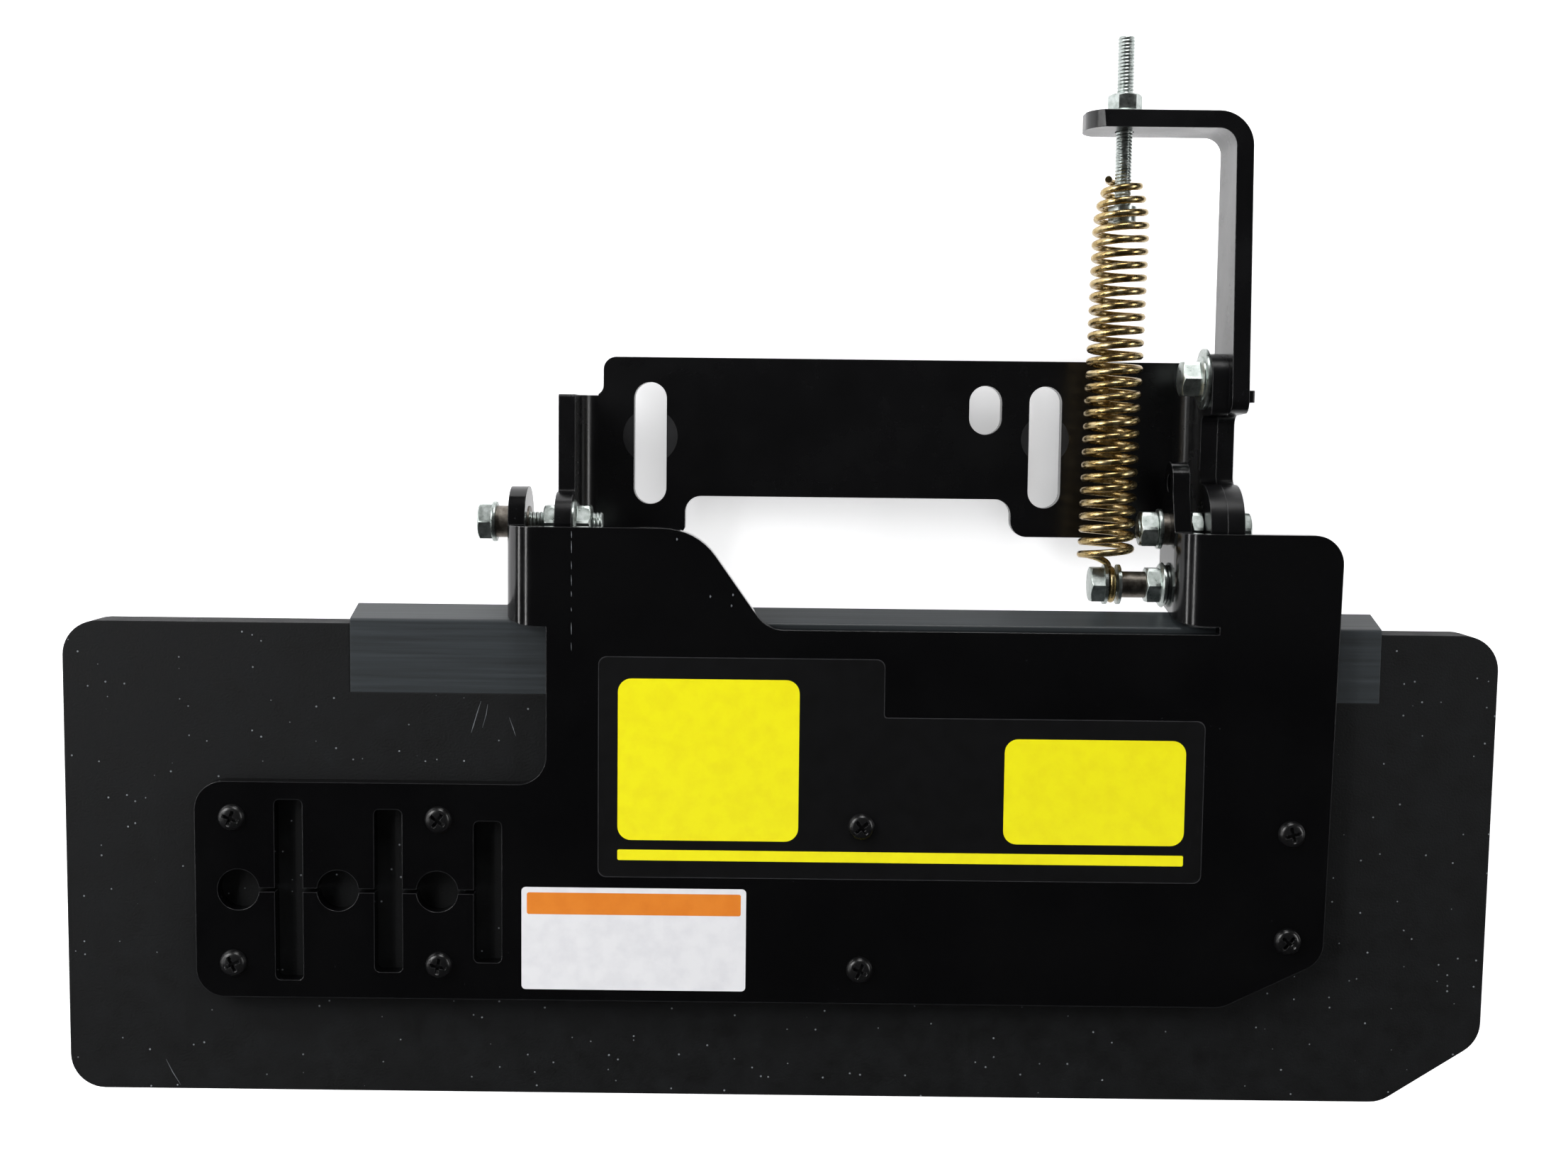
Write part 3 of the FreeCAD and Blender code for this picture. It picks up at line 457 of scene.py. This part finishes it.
def hex_bolt(node, body, y, z, head_on_left):
    """Hex bolt along X with its head at one end and a rolled thread."""
    low, high = node_span(node, 0)
    bury = 0.5
    bar_length = high - low - BOLT_HEAD + bury
    if head_on_left:
        chamfers, head_start = (True, False), low
        bar_start, plain = low + BOLT_HEAD - bury, PLAIN_SHANK
    else:
        chamfers, head_start = (False, True), high - BOLT_HEAD
        bar_start, plain = low, 0.0
    head = turned(node + "_head", hex_profile(BOLT_HEAD, BOLT_FLATS, PIN_HOLE, chamfers),
                  (head_start, y, z), ZINC, flats=BOLT_FLATS)
    bar = threaded_bar(node + "_bar", BOLT_RADIUS, BOLT_PITCH, (bar_start, y, z), bar_length, ZINC,
                       plain=plain)
    dress(join("threaded_" + node, [head, bar]), node, body)


def hex_nut(node, body, y, z, flange_on=None):
    """Chamfered nut along X, with a pressed flange on its left or right face."""
    low, high = node_span(node, 0)
    pieces = [turned(node + "_hex", hex_profile(high - low, BOLT_FLATS, BOLT_RADIUS), (low, y, z),
                     ZINC, flats=BOLT_FLATS)]
    if flange_on:
        skirt = [(0, BOLT_RADIUS), (0, 8.6), (0.5, 8.55), (1.1, 8.0), (1.6, 7.2),
                 (1.6, BOLT_RADIUS)]
        if flange_on == "right":
            skirt = [(high - low - along, radius) for along, radius in skirt][::-1]
        pieces.append(turned(node + "_flange", skirt, (low, y, z), ZINC))
    dress(join("chamfered_" + node, pieces), node, body)


def plain_washer(node, body, y, z, radius):
    """Punched washer along X."""
    low, high = node_span(node, 0)
    piece = turned("rounded_" + node, washer_profile(high - low, radius, BOLT_RADIUS),
                   (low, y, z), ZINC)
    dress(piece, node, body)


def make_arm_bolt():
    """Bolt of the arm, whose hexagon stands on a pressed flange."""
    low, high = node_span("arm_bolt", 0)
    head, overlap = 6.5, 0.4
    start, under_head = (low, AXIS_Y, ARM_BOLT_Z), (low + head, AXIS_Y, ARM_BOLT_Z)
    skirt = [(0, PIN_HOLE), (0, 7.0), (0.5, 7.9), (1.0, 8.5), (1.6, 8.6), (1.6, PIN_HOLE)]
    pieces = [
        turned("arm_bolt_head", hex_profile(head + overlap, BOLT_FLATS, PIN_HOLE, (True, False)),
               start, ZINC, flats=BOLT_FLATS),
        turned("arm_bolt_skirt", skirt, under_head, ZINC),
        threaded_bar("arm_bolt_bar", BOLT_RADIUS, BOLT_PITCH, under_head, high - low - head, ZINC),
    ]
    dress(join("flanged_arm_bolt", pieces), "arm_bolt", "hanger")


def make_hinge_fasteners():
    """Both pivot bolts with their nuts and washers, and the arm bolt's washer."""
    hex_bolt("left_pivot_bolt", "hanger", AXIS_Y, AXIS_Z, True)
    hex_bolt("right_pivot_bolt", "hanger", AXIS_Y, AXIS_Z, False)
    hex_nut("left_jam_nut", "hanger", AXIS_Y, AXIS_Z)
    hex_nut("left_flange_nut", "hanger", AXIS_Y, AXIS_Z, "left")
    hex_nut("right_jam_nut", "hanger", AXIS_Y, AXIS_Z)
    hex_nut("right_pivot_nut", "hanger", AXIS_Y, AXIS_Z)
    plain_washer("left_pivot_washer", "hanger", AXIS_Y, AXIS_Z, SMALL_WASHER)
    plain_washer("right_pivot_washer", "hanger", AXIS_Y, AXIS_Z, SMALL_WASHER)
    plain_washer("arm_washer", "hanger", AXIS_Y, ARM_BOLT_Z, ARM_WASHER)


def make_anchor_fasteners():
    """Bolt, nuts and lock washer that hold the spring's lower end."""
    hex_bolt("anchor_bolt", "flap", SPRING_Y, ANCHOR_Z, True)
    hex_nut("anchor_flange_nut", "flap", SPRING_Y, ANCHOR_Z, "right")
    hex_nut("anchor_back_nut", "flap", SPRING_Y, ANCHOR_Z)
    plain_washer("anchor_lock_washer", "flap", SPRING_Y, ANCHOR_Z, SMALL_WASHER)


def make_rod():
    """Threaded rod through the arm's end, and its flanged nut."""
    low, high = node_span("tension_rod", 2)
    rod = threaded_bar("threaded_rod", ROD_RADIUS, ROD_PITCH, (ROD_X, SPRING_Y, low), high - low,
                       ZINC, axis="z", depth=ROD_THREAD_DEPTH)
    dress(rod, "tension_rod", "hanger")
    low, high = node_span("rod_nut", 2)
    start = (ROD_X, SPRING_Y, low)
    skirt = [(0, ROD_RADIUS), (0, 7.5), (0.5, 7.5), (1.1, 6.9), (1.6, 6.2), (1.6, ROD_RADIUS)]
    pieces = [
        turned("rod_nut_hexagon", hex_profile(high - low, ROD_FLATS, ROD_RADIUS), start, ZINC,
               axis="z", flats=ROD_FLATS),
        turned("rod_nut_skirt", skirt, start, ZINC, axis="z"),
    ]
    dress(join("flanged_rod_nut", pieces), "rod_nut", "hanger")


# Spring

def rounded_run(points):
    """Smooth points between the second and the last of a run."""
    steps = 6
    out = []
    for i in range(1, len(points) - 1):
        before, start, end = points[i - 1], points[i], points[i + 1]
        after = points[i + 2] if i + 2 < len(points) else end
        for k in range(1, steps + 1):
            u = k / steps
            out.append(0.5 * ((2 * start) + (end - before) * u
                              + (2 * before - 5 * start + 4 * end - after) * u * u
                              + (3 * start - before - 3 * end + after) * u ** 3))
    return out


def hook_line(before_end, end):
    """From the last turn's end across to the back, down between the washers and round the bolt."""
    middle = end.x + COIL_RADIUS
    loop = BOLT_RADIUS + WIRE / 2 + 0.4
    loop_x = ROD_X - 0.8
    fall = end.z - (ANCHOR_Z + loop)
    run = [before_end, end]
    # shares of the coil's radius left of its middle and behind it, and of the fall
    for left, behind, down in ((0.9, 0.43, 0.05), (0.55, 0.72, 0.15), (0.1, 0.78, 0.38)):
        run.append(Vector((middle - left * COIL_RADIUS, SPRING_Y + behind * COIL_RADIUS,
                           end.z - down * fall)))
    run.append(Vector((loop_x, SPRING_Y + 0.72 * COIL_RADIUS, end.z - 0.8 * fall)))
    for i in range(10):
        angle = math.radians(15 - i * 32)
        run.append(Vector((loop_x, SPRING_Y + loop * math.cos(angle),
                           ANCHOR_Z + loop * math.sin(angle))))
    return rounded_run(run)


def spring_centre_line():
    """Coned top turns, even body turns, then a hook round the anchor bolt, in millimetres."""
    tip_radius, pitch = 5.4, 4.85
    cone, turns = 4.0, 25.0
    top = 102.0 - WIRE / 2
    lean = 3.2 / (top - ANCHOR_Z)
    per_turn = 28
    points = []
    for i in range(int((cone + turns) * per_turn) + 1):
        turn = i / per_turn
        widened = math.sin(min(turn / cone, 1.0) * math.pi / 2)
        radius = tip_radius + (COIL_RADIUS - tip_radius) * widened
        angle = math.pi - 2 * math.pi * turn
        drop = pitch * turn
        points.append(Vector((ROD_X - lean * drop + radius * math.cos(angle),
                              SPRING_Y + radius * math.sin(angle), top - drop)))
    return points + hook_line(points[-4], points[-1].copy())


def make_spring():
    """The coiled wire as a mesh, set on the spring's own body."""
    points = spring_centre_line()
    curve = bpy.data.curves.new("spring_wire_line", "CURVE")
    curve.dimensions = "3D"
    curve.bevel_depth = WIRE / 2 * MM
    curve.bevel_resolution = 3
    curve.use_fill_caps = True
    spline = curve.splines.new("POLY")
    spline.points.add(len(points) - 1)
    for knot, point in zip(spline.points, points):
        knot.co = (point.x * MM, point.y * MM, point.z * MM, 1.0)
    holder = bpy.data.objects.new("spring_wire_holder", curve)
    scene.collection.objects.link(holder)
    graph = bpy.context.evaluated_depsgraph_get()
    mesh = bpy.data.meshes.new_from_object(holder.evaluated_get(graph))
    bpy.data.objects.remove(holder)
    spring = bpy.data.objects.new("coiled_spring", mesh)
    scene.collection.objects.link(spring)
    mesh.materials.clear()
    mesh.materials.append(SPRING_ZINC)
    for polygon in mesh.polygons:
        polygon.use_smooth = True
    dress(spring, "spring", "spring_body")
    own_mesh(spring)


# Screws, each as its place across and up and the turn of its recess in degrees

SCREWS = [(-228.0, -139.6, 20), (-228.0, -194.6, 65), (-151.4, -139.6, 35), (-151.4, -194.6, 10),
          (5.5, -140.4, 50), (5.5, -194.6, 25), (165.0, -141.4, 75), (164.8, -182.0, 40)]


def screw_head(x, z, turn):
    """Pan head with a cross recess, as a domed disc whose middle is sunk along two bars."""
    rings, spokes = 30, 72
    radius, high = 5.0, 2.9
    recess, half_width, bar_reach, wall_slope = 1.9, 0.62, 3.1, 2.6
    verts = []
    faces = []
    for j in range(rings + 1):
        share = j / rings
        for i in range(spokes):
            angle = 2 * math.pi * i / spokes
            r = radius * share
            dome = high * (1 - share ** 4) ** 0.5
            u = abs(r * math.cos(angle + math.radians(turn)))
            v = abs(r * math.sin(angle + math.radians(turn)))
            in_bar = min(u, v) < half_width and max(u, v) < bar_reach
            arm = max(0.0, 1 - max(u, v) / bar_reach)
            sunk = recess * min(1.0, wall_slope * arm) if in_bar else 0.0
            verts.append(Vector((x + r * math.cos(angle), FACE_Y - dome + sunk,
                                 z + r * math.sin(angle))) * MM)
    for j in range(rings):
        for i in range(spokes):
            a, b = j * spokes + i, j * spokes + (i + 1) % spokes
            faces.append((a, b, b + spokes, a + spokes))
    faces.append(tuple(rings * spokes + i for i in range(spokes)))
    return clean(mesh_object("screw_head_dome", verts, faces, BLACK_SCREW), 50.0)


def make_screws():
    """All eight screws as one piece, with threads that end in the board nuts."""
    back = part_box("plate_screws")[1].y / MM
    pieces = []
    for x, z, turn in SCREWS:
        pieces.append(screw_head(x, z, turn))
        pieces.append(threaded_bar("screw_bar", SCREW_RADIUS, SCREW_PITCH, (x, FACE_Y, z),
                                   back - FACE_Y, BLACK_SCREW, axis="y", plain=PLAIN_SHANK,
                                   depth=SCREW_THREAD_DEPTH))
    dress(join("cross_recess_screws", pieces), "plate_screws", "flap")


def make_board_nuts():
    """The screws' nuts behind the board."""
    low, high = node_span("board_nuts", 1)
    profile = hex_profile(high - low, SCREW_FLATS, SCREW_BORE)
    pieces = [turned("board_nut", profile, (x, low, z), ZINC, axis="y", flats=SCREW_FLATS,
                     segments=48) for x, z, _ in SCREWS]
    dress(join("chamfered_board_nuts", pieces), "board_nuts", "flap")


# Stickers and marks on the plates

def rounded_loop(left, right, low, high, radius, steps=8):
    """Corner-rounded rectangle as points across and up."""
    corners = ((right - radius, low + radius, -90), (right - radius, high - radius, 0),
               (left + radius, high - radius, 90), (left + radius, low + radius, 180))
    points = []
    for cx, cz, first in corners:
        for k in range(steps + 1):
            angle = math.radians(first + 90 * k / steps)
            points.append((cx + radius * math.cos(angle), cz + radius * math.sin(angle)))
    return points


def film(name, loop, lift, thick, material):
    """Thin slab on the flap plate's front face, from an outline of points across and up."""
    count = len(loop)
    verts = [Vector((x, FACE_Y - lift, z)) * MM for x, z in loop]
    verts += [Vector((x, FACE_Y - lift - thick, z)) * MM for x, z in loop]
    faces = [tuple(range(count)), tuple(range(2 * count - 1, count - 1, -1))]
    for i in range(count):
        j = (i + 1) % count
        faces.append((i, j, j + count, i + count))
    piece = clean(mesh_object(name, verts, faces, material, smooth=False))
    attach(piece, "flap")


def black_sticker_loop(grow):
    """Black field with a lower right shoulder; grow widens it all round."""
    left, step, right = -92.0 - grow, 13.1 + grow, 131.6 + grow
    top, shoulder, low = -78.2 + grow, -99.8 + grow, -160.2 - grow
    outer_radius, inner_radius, steps = 3.0, 1.2, 6
    corners = [(left, low, outer_radius), (right, low, outer_radius),
               (right, shoulder, outer_radius), (step, shoulder, inner_radius),
               (step, top, outer_radius), (left, top, outer_radius)]
    points = []
    for i, (x, z, radius) in enumerate(corners):
        before, after = corners[i - 1], corners[(i + 1) % len(corners)]
        into = Vector((before[0] - x, before[1] - z)).normalized()
        out = Vector((after[0] - x, after[1] - z)).normalized()
        middle = Vector((x, z)) + (into + out) * radius
        for k in range(steps + 1):
            angle = math.pi / 2 * k / steps
            points.append(tuple(middle - out * radius * math.cos(angle)
                                - into * radius * math.sin(angle)))
    return points


def make_stickers():
    """Bare fields of colour where the printed films sit, with no words and no pictures."""
    film("black_sticker_edge", black_sticker_loop(0.3), 0.0, FIELD, FILM_EDGE)
    film("black_sticker", black_sticker_loop(0.0), FIELD, FIELD, BLACK_FILM)
    film("yellow_stripe_low", rounded_loop(-85.0, 125.0, -154.0, -150.0, 0.6), STICKER, LAYER,
         YELLOW_FILM)
    film("yellow_field_right", rounded_loop(58.0, 125.0, -146.4, -107.0, 5.0), STICKER, LAYER,
         YELLOW_FILM)
    film("yellow_field_left", rounded_loop(-85.0, -18.0, -146.4, -86.0, 5.0), STICKER, LAYER,
         YELLOW_FILM)
    film("white_sticker", rounded_loop(-120.6, -37.0, -203.4, -164.6, 1.6), 0.0, STICKER,
         WHITE_FILM)
    film("orange_band", rounded_loop(-118.6, -39.0, -174.8, -166.6, 0.8), STICKER, LAYER,
         ORANGE_FILM)


def scuff(name, points, width, depth_y, body):
    """Thin scratch along points across and up, just proud of a face that looks to the front."""
    verts = []
    faces = []
    last = len(points) - 1
    for i, (x, z) in enumerate(points):
        half = width / 2 * (0.25 + 0.75 * math.sin(math.pi * i / last))
        verts += [Vector((x - half, depth_y, z)) * MM, Vector((x + half, depth_y, z)) * MM]
    for i in range(last):
        a = 2 * i
        faces.append((a, a + 1, a + 3, a + 2))
    piece = mesh_object(name, verts, faces, PALE_SCUFF, smooth=False)
    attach(piece, body)


def crescent(name, middle_x, middle_z, radius, inner, side, face_y):
    """Sliver of a washer's rub mark beside a slot, from the slot's side to the washer's rim."""
    steps = 20
    limit = math.acos(inner / radius)
    angles = [limit * (2 * k / steps - 1) for k in range(steps + 1)]
    rim = [(middle_x + side * radius * math.cos(a), middle_z + radius * math.sin(a))
           for a in angles]
    inside = [(middle_x + side * inner, z) for _, z in reversed(rim[1:-1])]
    verts = [Vector((x, face_y, z)) * MM for x, z in rim + inside]
    piece = mesh_object(name, verts, [tuple(range(len(verts)))], RUBBED_COAT, smooth=False)
    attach(piece, "hanger")


BOARD_SCRATCHES = [
    ("board_scratch_a", [(-136.5, -96), (-137.8, -100), (-139.3, -105), (-140.2, -108)], 0.35),
    ("board_scratch_b", [(-134.0, -97), (-134.6, -101), (-136.0, -106)], 0.3),
    ("board_scratch_c", [(-126.0, -102), (-124.6, -106), (-123.6, -109)], 0.3),
    ("board_scratch_d", [(-256.0, -234), (-253.6, -239), (-250.6, -244)], 0.35),
]
SHOULDER_DASHES = [(-32, -34.5), (-35.5, -40), (-43, -46), (-48, -52), (-54, -56), (-60, -61.5),
                   (-65.5, -70), (-73, -76)]
PLATE_NICKS = [(-63.7, -34.5), (-43.0, -54.7), (-43.5, -58.7), (-51.3, -55.4), (70.2, -120.1)]
WASHER_RUBS = [(-77.3, 2.8, 10.7), (77.3, 3.2, 9.4)]


def make_scuffs():
    """Scratches, nicks and rub marks where the photograph shows them."""
    board = FACE_Y + PLATE - 0.04
    plate = FACE_Y - PROUD
    hanger = -PLATE - PROUD
    for name, points, width in BOARD_SCRATCHES:
        scuff(name, points, width, board, "flap")
    # broken scratch down the plate's left shoulder
    for i, (high, low) in enumerate(SHOULDER_DASHES):
        scuff(f"plate_scratch_{i}", [(-102.3, high), (-102.25, (high + low) / 2), (-102.2, low)],
              0.3, plate, "flap")
    for i, (x, z) in enumerate(PLATE_NICKS):
        scuff(f"plate_nick_{i}", [(x, z + 0.5), (x + 0.1, z), (x, z - 0.5)], 0.7, plate, "flap")
    # washers have rubbed the hanger beside its two long slots
    slot_side = 6.5
    for i, (x, z, radius) in enumerate(WASHER_RUBS):
        crescent(f"washer_rub_left_{i}", x, z, radius, slot_side, -1, hanger)
        crescent(f"washer_rub_right_{i}", x, z, radius, slot_side, 1, hanger)
    # cracked paint on the arm's front edge
    arm_edge = SPRING_Y - 12.55
    scuff("arm_paint_line", [(119.4, 123.6), (119.5, 121), (119.6, 118.4)], 0.7, arm_edge,
          "hanger")


# Stage, lights and camera, in metres

WHITE_LIGHT = (1, 1, 1, 1)


def paper_material(name, white, seen_level, mirrored_level):
    """Matt white paper; it lifts to white for the camera, with soft contact shade painted into
    that lift, and its back is clear."""
    material, tree = empty_material(name)
    paper = add(tree, "ShaderNodeBsdfDiffuse", inputs={"Color": linear(white)})
    path = add(tree, "ShaderNodeLightPath")
    # painted contact shade: the camera's white lift is dimmed by ambient occlusion near the part
    open_sky = add(tree, "ShaderNodeAmbientOcclusion", {"samples": 8}, {"Distance": 0.035})
    shaded = add(tree, "ShaderNodeMapRange", inputs={
        "Value": (open_sky, "AO"), "From Min": 0.2, "From Max": 0.9, "To Min": 0.42 * seen_level,
        "To Max": seen_level})
    seen = add(tree, "ShaderNodeMath", {"operation": "MULTIPLY"}, {
        0: (path, "Is Camera Ray"), 1: (shaded, "Result")})
    mirrored = add(tree, "ShaderNodeMath", {"operation": "MULTIPLY_ADD"}, {
        0: (path, "Is Glossy Ray"), 1: mirrored_level, 2: (seen, 0)})
    lift = add(tree, "ShaderNodeEmission", inputs={
        "Color": WHITE_LIGHT, "Strength": (mirrored, 0)})
    both = add(tree, "ShaderNodeAddShader", inputs={0: (paper, "BSDF"), 1: (lift, "Emission")})
    clear = add(tree, "ShaderNodeBsdfTransparent")
    side = add(tree, "ShaderNodeNewGeometry")
    mix = add(tree, "ShaderNodeMixShader", inputs={
        0: (side, "Backfacing"), 1: (both, 0), 2: (clear, "BSDF")})
    add(tree, "ShaderNodeOutputMaterial", inputs={"Surface": (mix, 0)})
    return material


def floor_material(name, white):
    """Pale floor that black gloss mirrors as the dark room it stands in."""
    material, tree = empty_material(name)
    path = add(tree, "ShaderNodeLightPath")
    paper = add(tree, "ShaderNodeBsdfDiffuse", inputs={"Color": linear(white)})
    lift = add(tree, "ShaderNodeEmission", inputs={
        "Color": WHITE_LIGHT, "Strength": (path, "Is Camera Ray")})
    both = add(tree, "ShaderNodeAddShader", inputs={0: (paper, "BSDF"), 1: (lift, "Emission")})
    dark = add(tree, "ShaderNodeEmission", inputs={"Color": WHITE_LIGHT, "Strength": 0.03})
    mix = add(tree, "ShaderNodeMixShader", inputs={
        0: (path, "Is Glossy Ray"), 1: (both, 0), 2: (dark, "Emission")})
    add(tree, "ShaderNodeOutputMaterial", inputs={"Surface": (mix, 0)})
    return material


def make_stage():
    """The sheet right behind the part, and the floor under it."""
    reach, wall_y, floor_z = 3, 0.012, -0.42
    paper = "#F2F2F4"
    square = [(0, 1, 2, 3)]
    wall = mesh_object(
        "backdrop_wall",
        [(-reach, wall_y, -reach), (reach, wall_y, -reach), (reach, wall_y, reach),
         (-reach, wall_y, reach)],
        square, paper_material("matt_white_paper", paper, 0.78, 0.6), smooth=False)
    floor = mesh_object(
        "pale_floor",
        [(-reach, -reach, floor_z), (reach, -reach, floor_z), (reach, reach, floor_z),
         (-reach, reach, floor_z)],
        square, floor_material("pale_floor_paper", paper), smooth=False)


def area_light(name, place, aim, wide, tall, power):
    """Rectangular lamp at a place, turned to an aim."""
    lamp = bpy.data.lights.new(name, "AREA")
    lamp.shape = "RECTANGLE"
    lamp.size = wide
    lamp.size_y = tall
    lamp.energy = power
    holder = bpy.data.objects.new(name, lamp)
    scene.collection.objects.link(holder)
    holder.location = place
    holder.rotation_euler = (Vector(aim) - Vector(place)).to_track_quat("-Z", "Y").to_euler()


def make_lights():
    """Soft window light from the upper left, narrow panes and a dim room."""
    middle = (0, 0, -0.05)
    area_light("upper_left_window", (-1.2, -0.8, 0.75), middle, 0.8, 0.8, 15)
    # narrow panes that the folds mirror as bright upright lines
    area_light("left_pane_near", (-1.0, -0.85, 0.0), middle, 0.05, 0.9, 2.2)
    area_light("left_pane_far", (-1.1, -0.3, 0.0), middle, 0.07, 0.9, 2.2)
    area_light("right_pane", (1.1, -0.6, 0.1), middle, 0.2, 0.8, 4)
    area_light("top_strip", (0.1, -0.5, 1.2), (0, 0, 0), 0.5, 0.5, 6)
    world = bpy.data.worlds.new("studio_world")
    scene.world = world
    world.use_nodes = True
    tree = world.node_tree
    tree.nodes.clear()
    path = add(tree, "ShaderNodeLightPath")
    # the room behind the camera is dark, so black faces that look at it stay black
    level = add(tree, "ShaderNodeMapRange", inputs={
        "Value": (path, "Is Camera Ray"), "To Min": 0.05, "To Max": 1.0})
    sky = add(tree, "ShaderNodeBackground", inputs={
        "Color": WHITE_LIGHT, "Strength": (level, "Result")})
    add(tree, "ShaderNodeOutputWorld", inputs={"Surface": (sky, "Background")})


def make_camera():
    """Looks along +Y at the flap plate's face, tipped down and turned a little, as the photograph
    was taken."""
    pitch = math.radians(4.9)
    roll = math.radians(0.66)
    distance = 690.0
    aim_x, aim_z = -24.26, -51.94
    image_width, focal_pixels, sensor = 2212.0, 2654.0, 36.0
    lens = bpy.data.cameras.new("photo_camera")
    lens.sensor_width = sensor
    lens.lens = sensor * focal_pixels / image_width
    lens.clip_start = 0.01
    camera = bpy.data.objects.new("photo_camera", lens)
    scene.collection.objects.link(camera)
    place = Vector((aim_x, FACE_Y - distance * math.cos(pitch),
                    aim_z + distance * math.sin(pitch))) * MM
    turn = Matrix.Rotation(math.pi / 2 - pitch, 4, "X") @ Matrix.Rotation(roll, 4, "Z")
    camera.matrix_world = Matrix.Translation(place) @ turn
    scene.camera = camera


def finish_cad_nodes():
    """Gives the CAD nodes that stay in view their finish."""
    finishes = {
        "hanger_plate": SATIN_BLACK, "spring_arm": SATIN_BLACK, "flap_plate": GLOSS_BLACK,
        "flap_board": BOARD, "edge_strip": STRIP, "left_pivot_bushing": OILED,
        "right_pivot_bushing": OILED, "anchor_spacer": OILED, "anchor_washers": ZINC,
        "spring_plug": ZINC,
    }
    for node, material in finishes.items():
        mesh = nodes[node].data
        mesh.materials.clear()
        mesh.materials.append(material)


make_camera()
make_stage()
make_lights()
finish_cad_nodes()
make_hinge_fasteners()
make_arm_bolt()
make_anchor_fasteners()
make_rod()
make_spring()
make_screws()
make_board_nuts()
make_stickers()
make_scuffs()
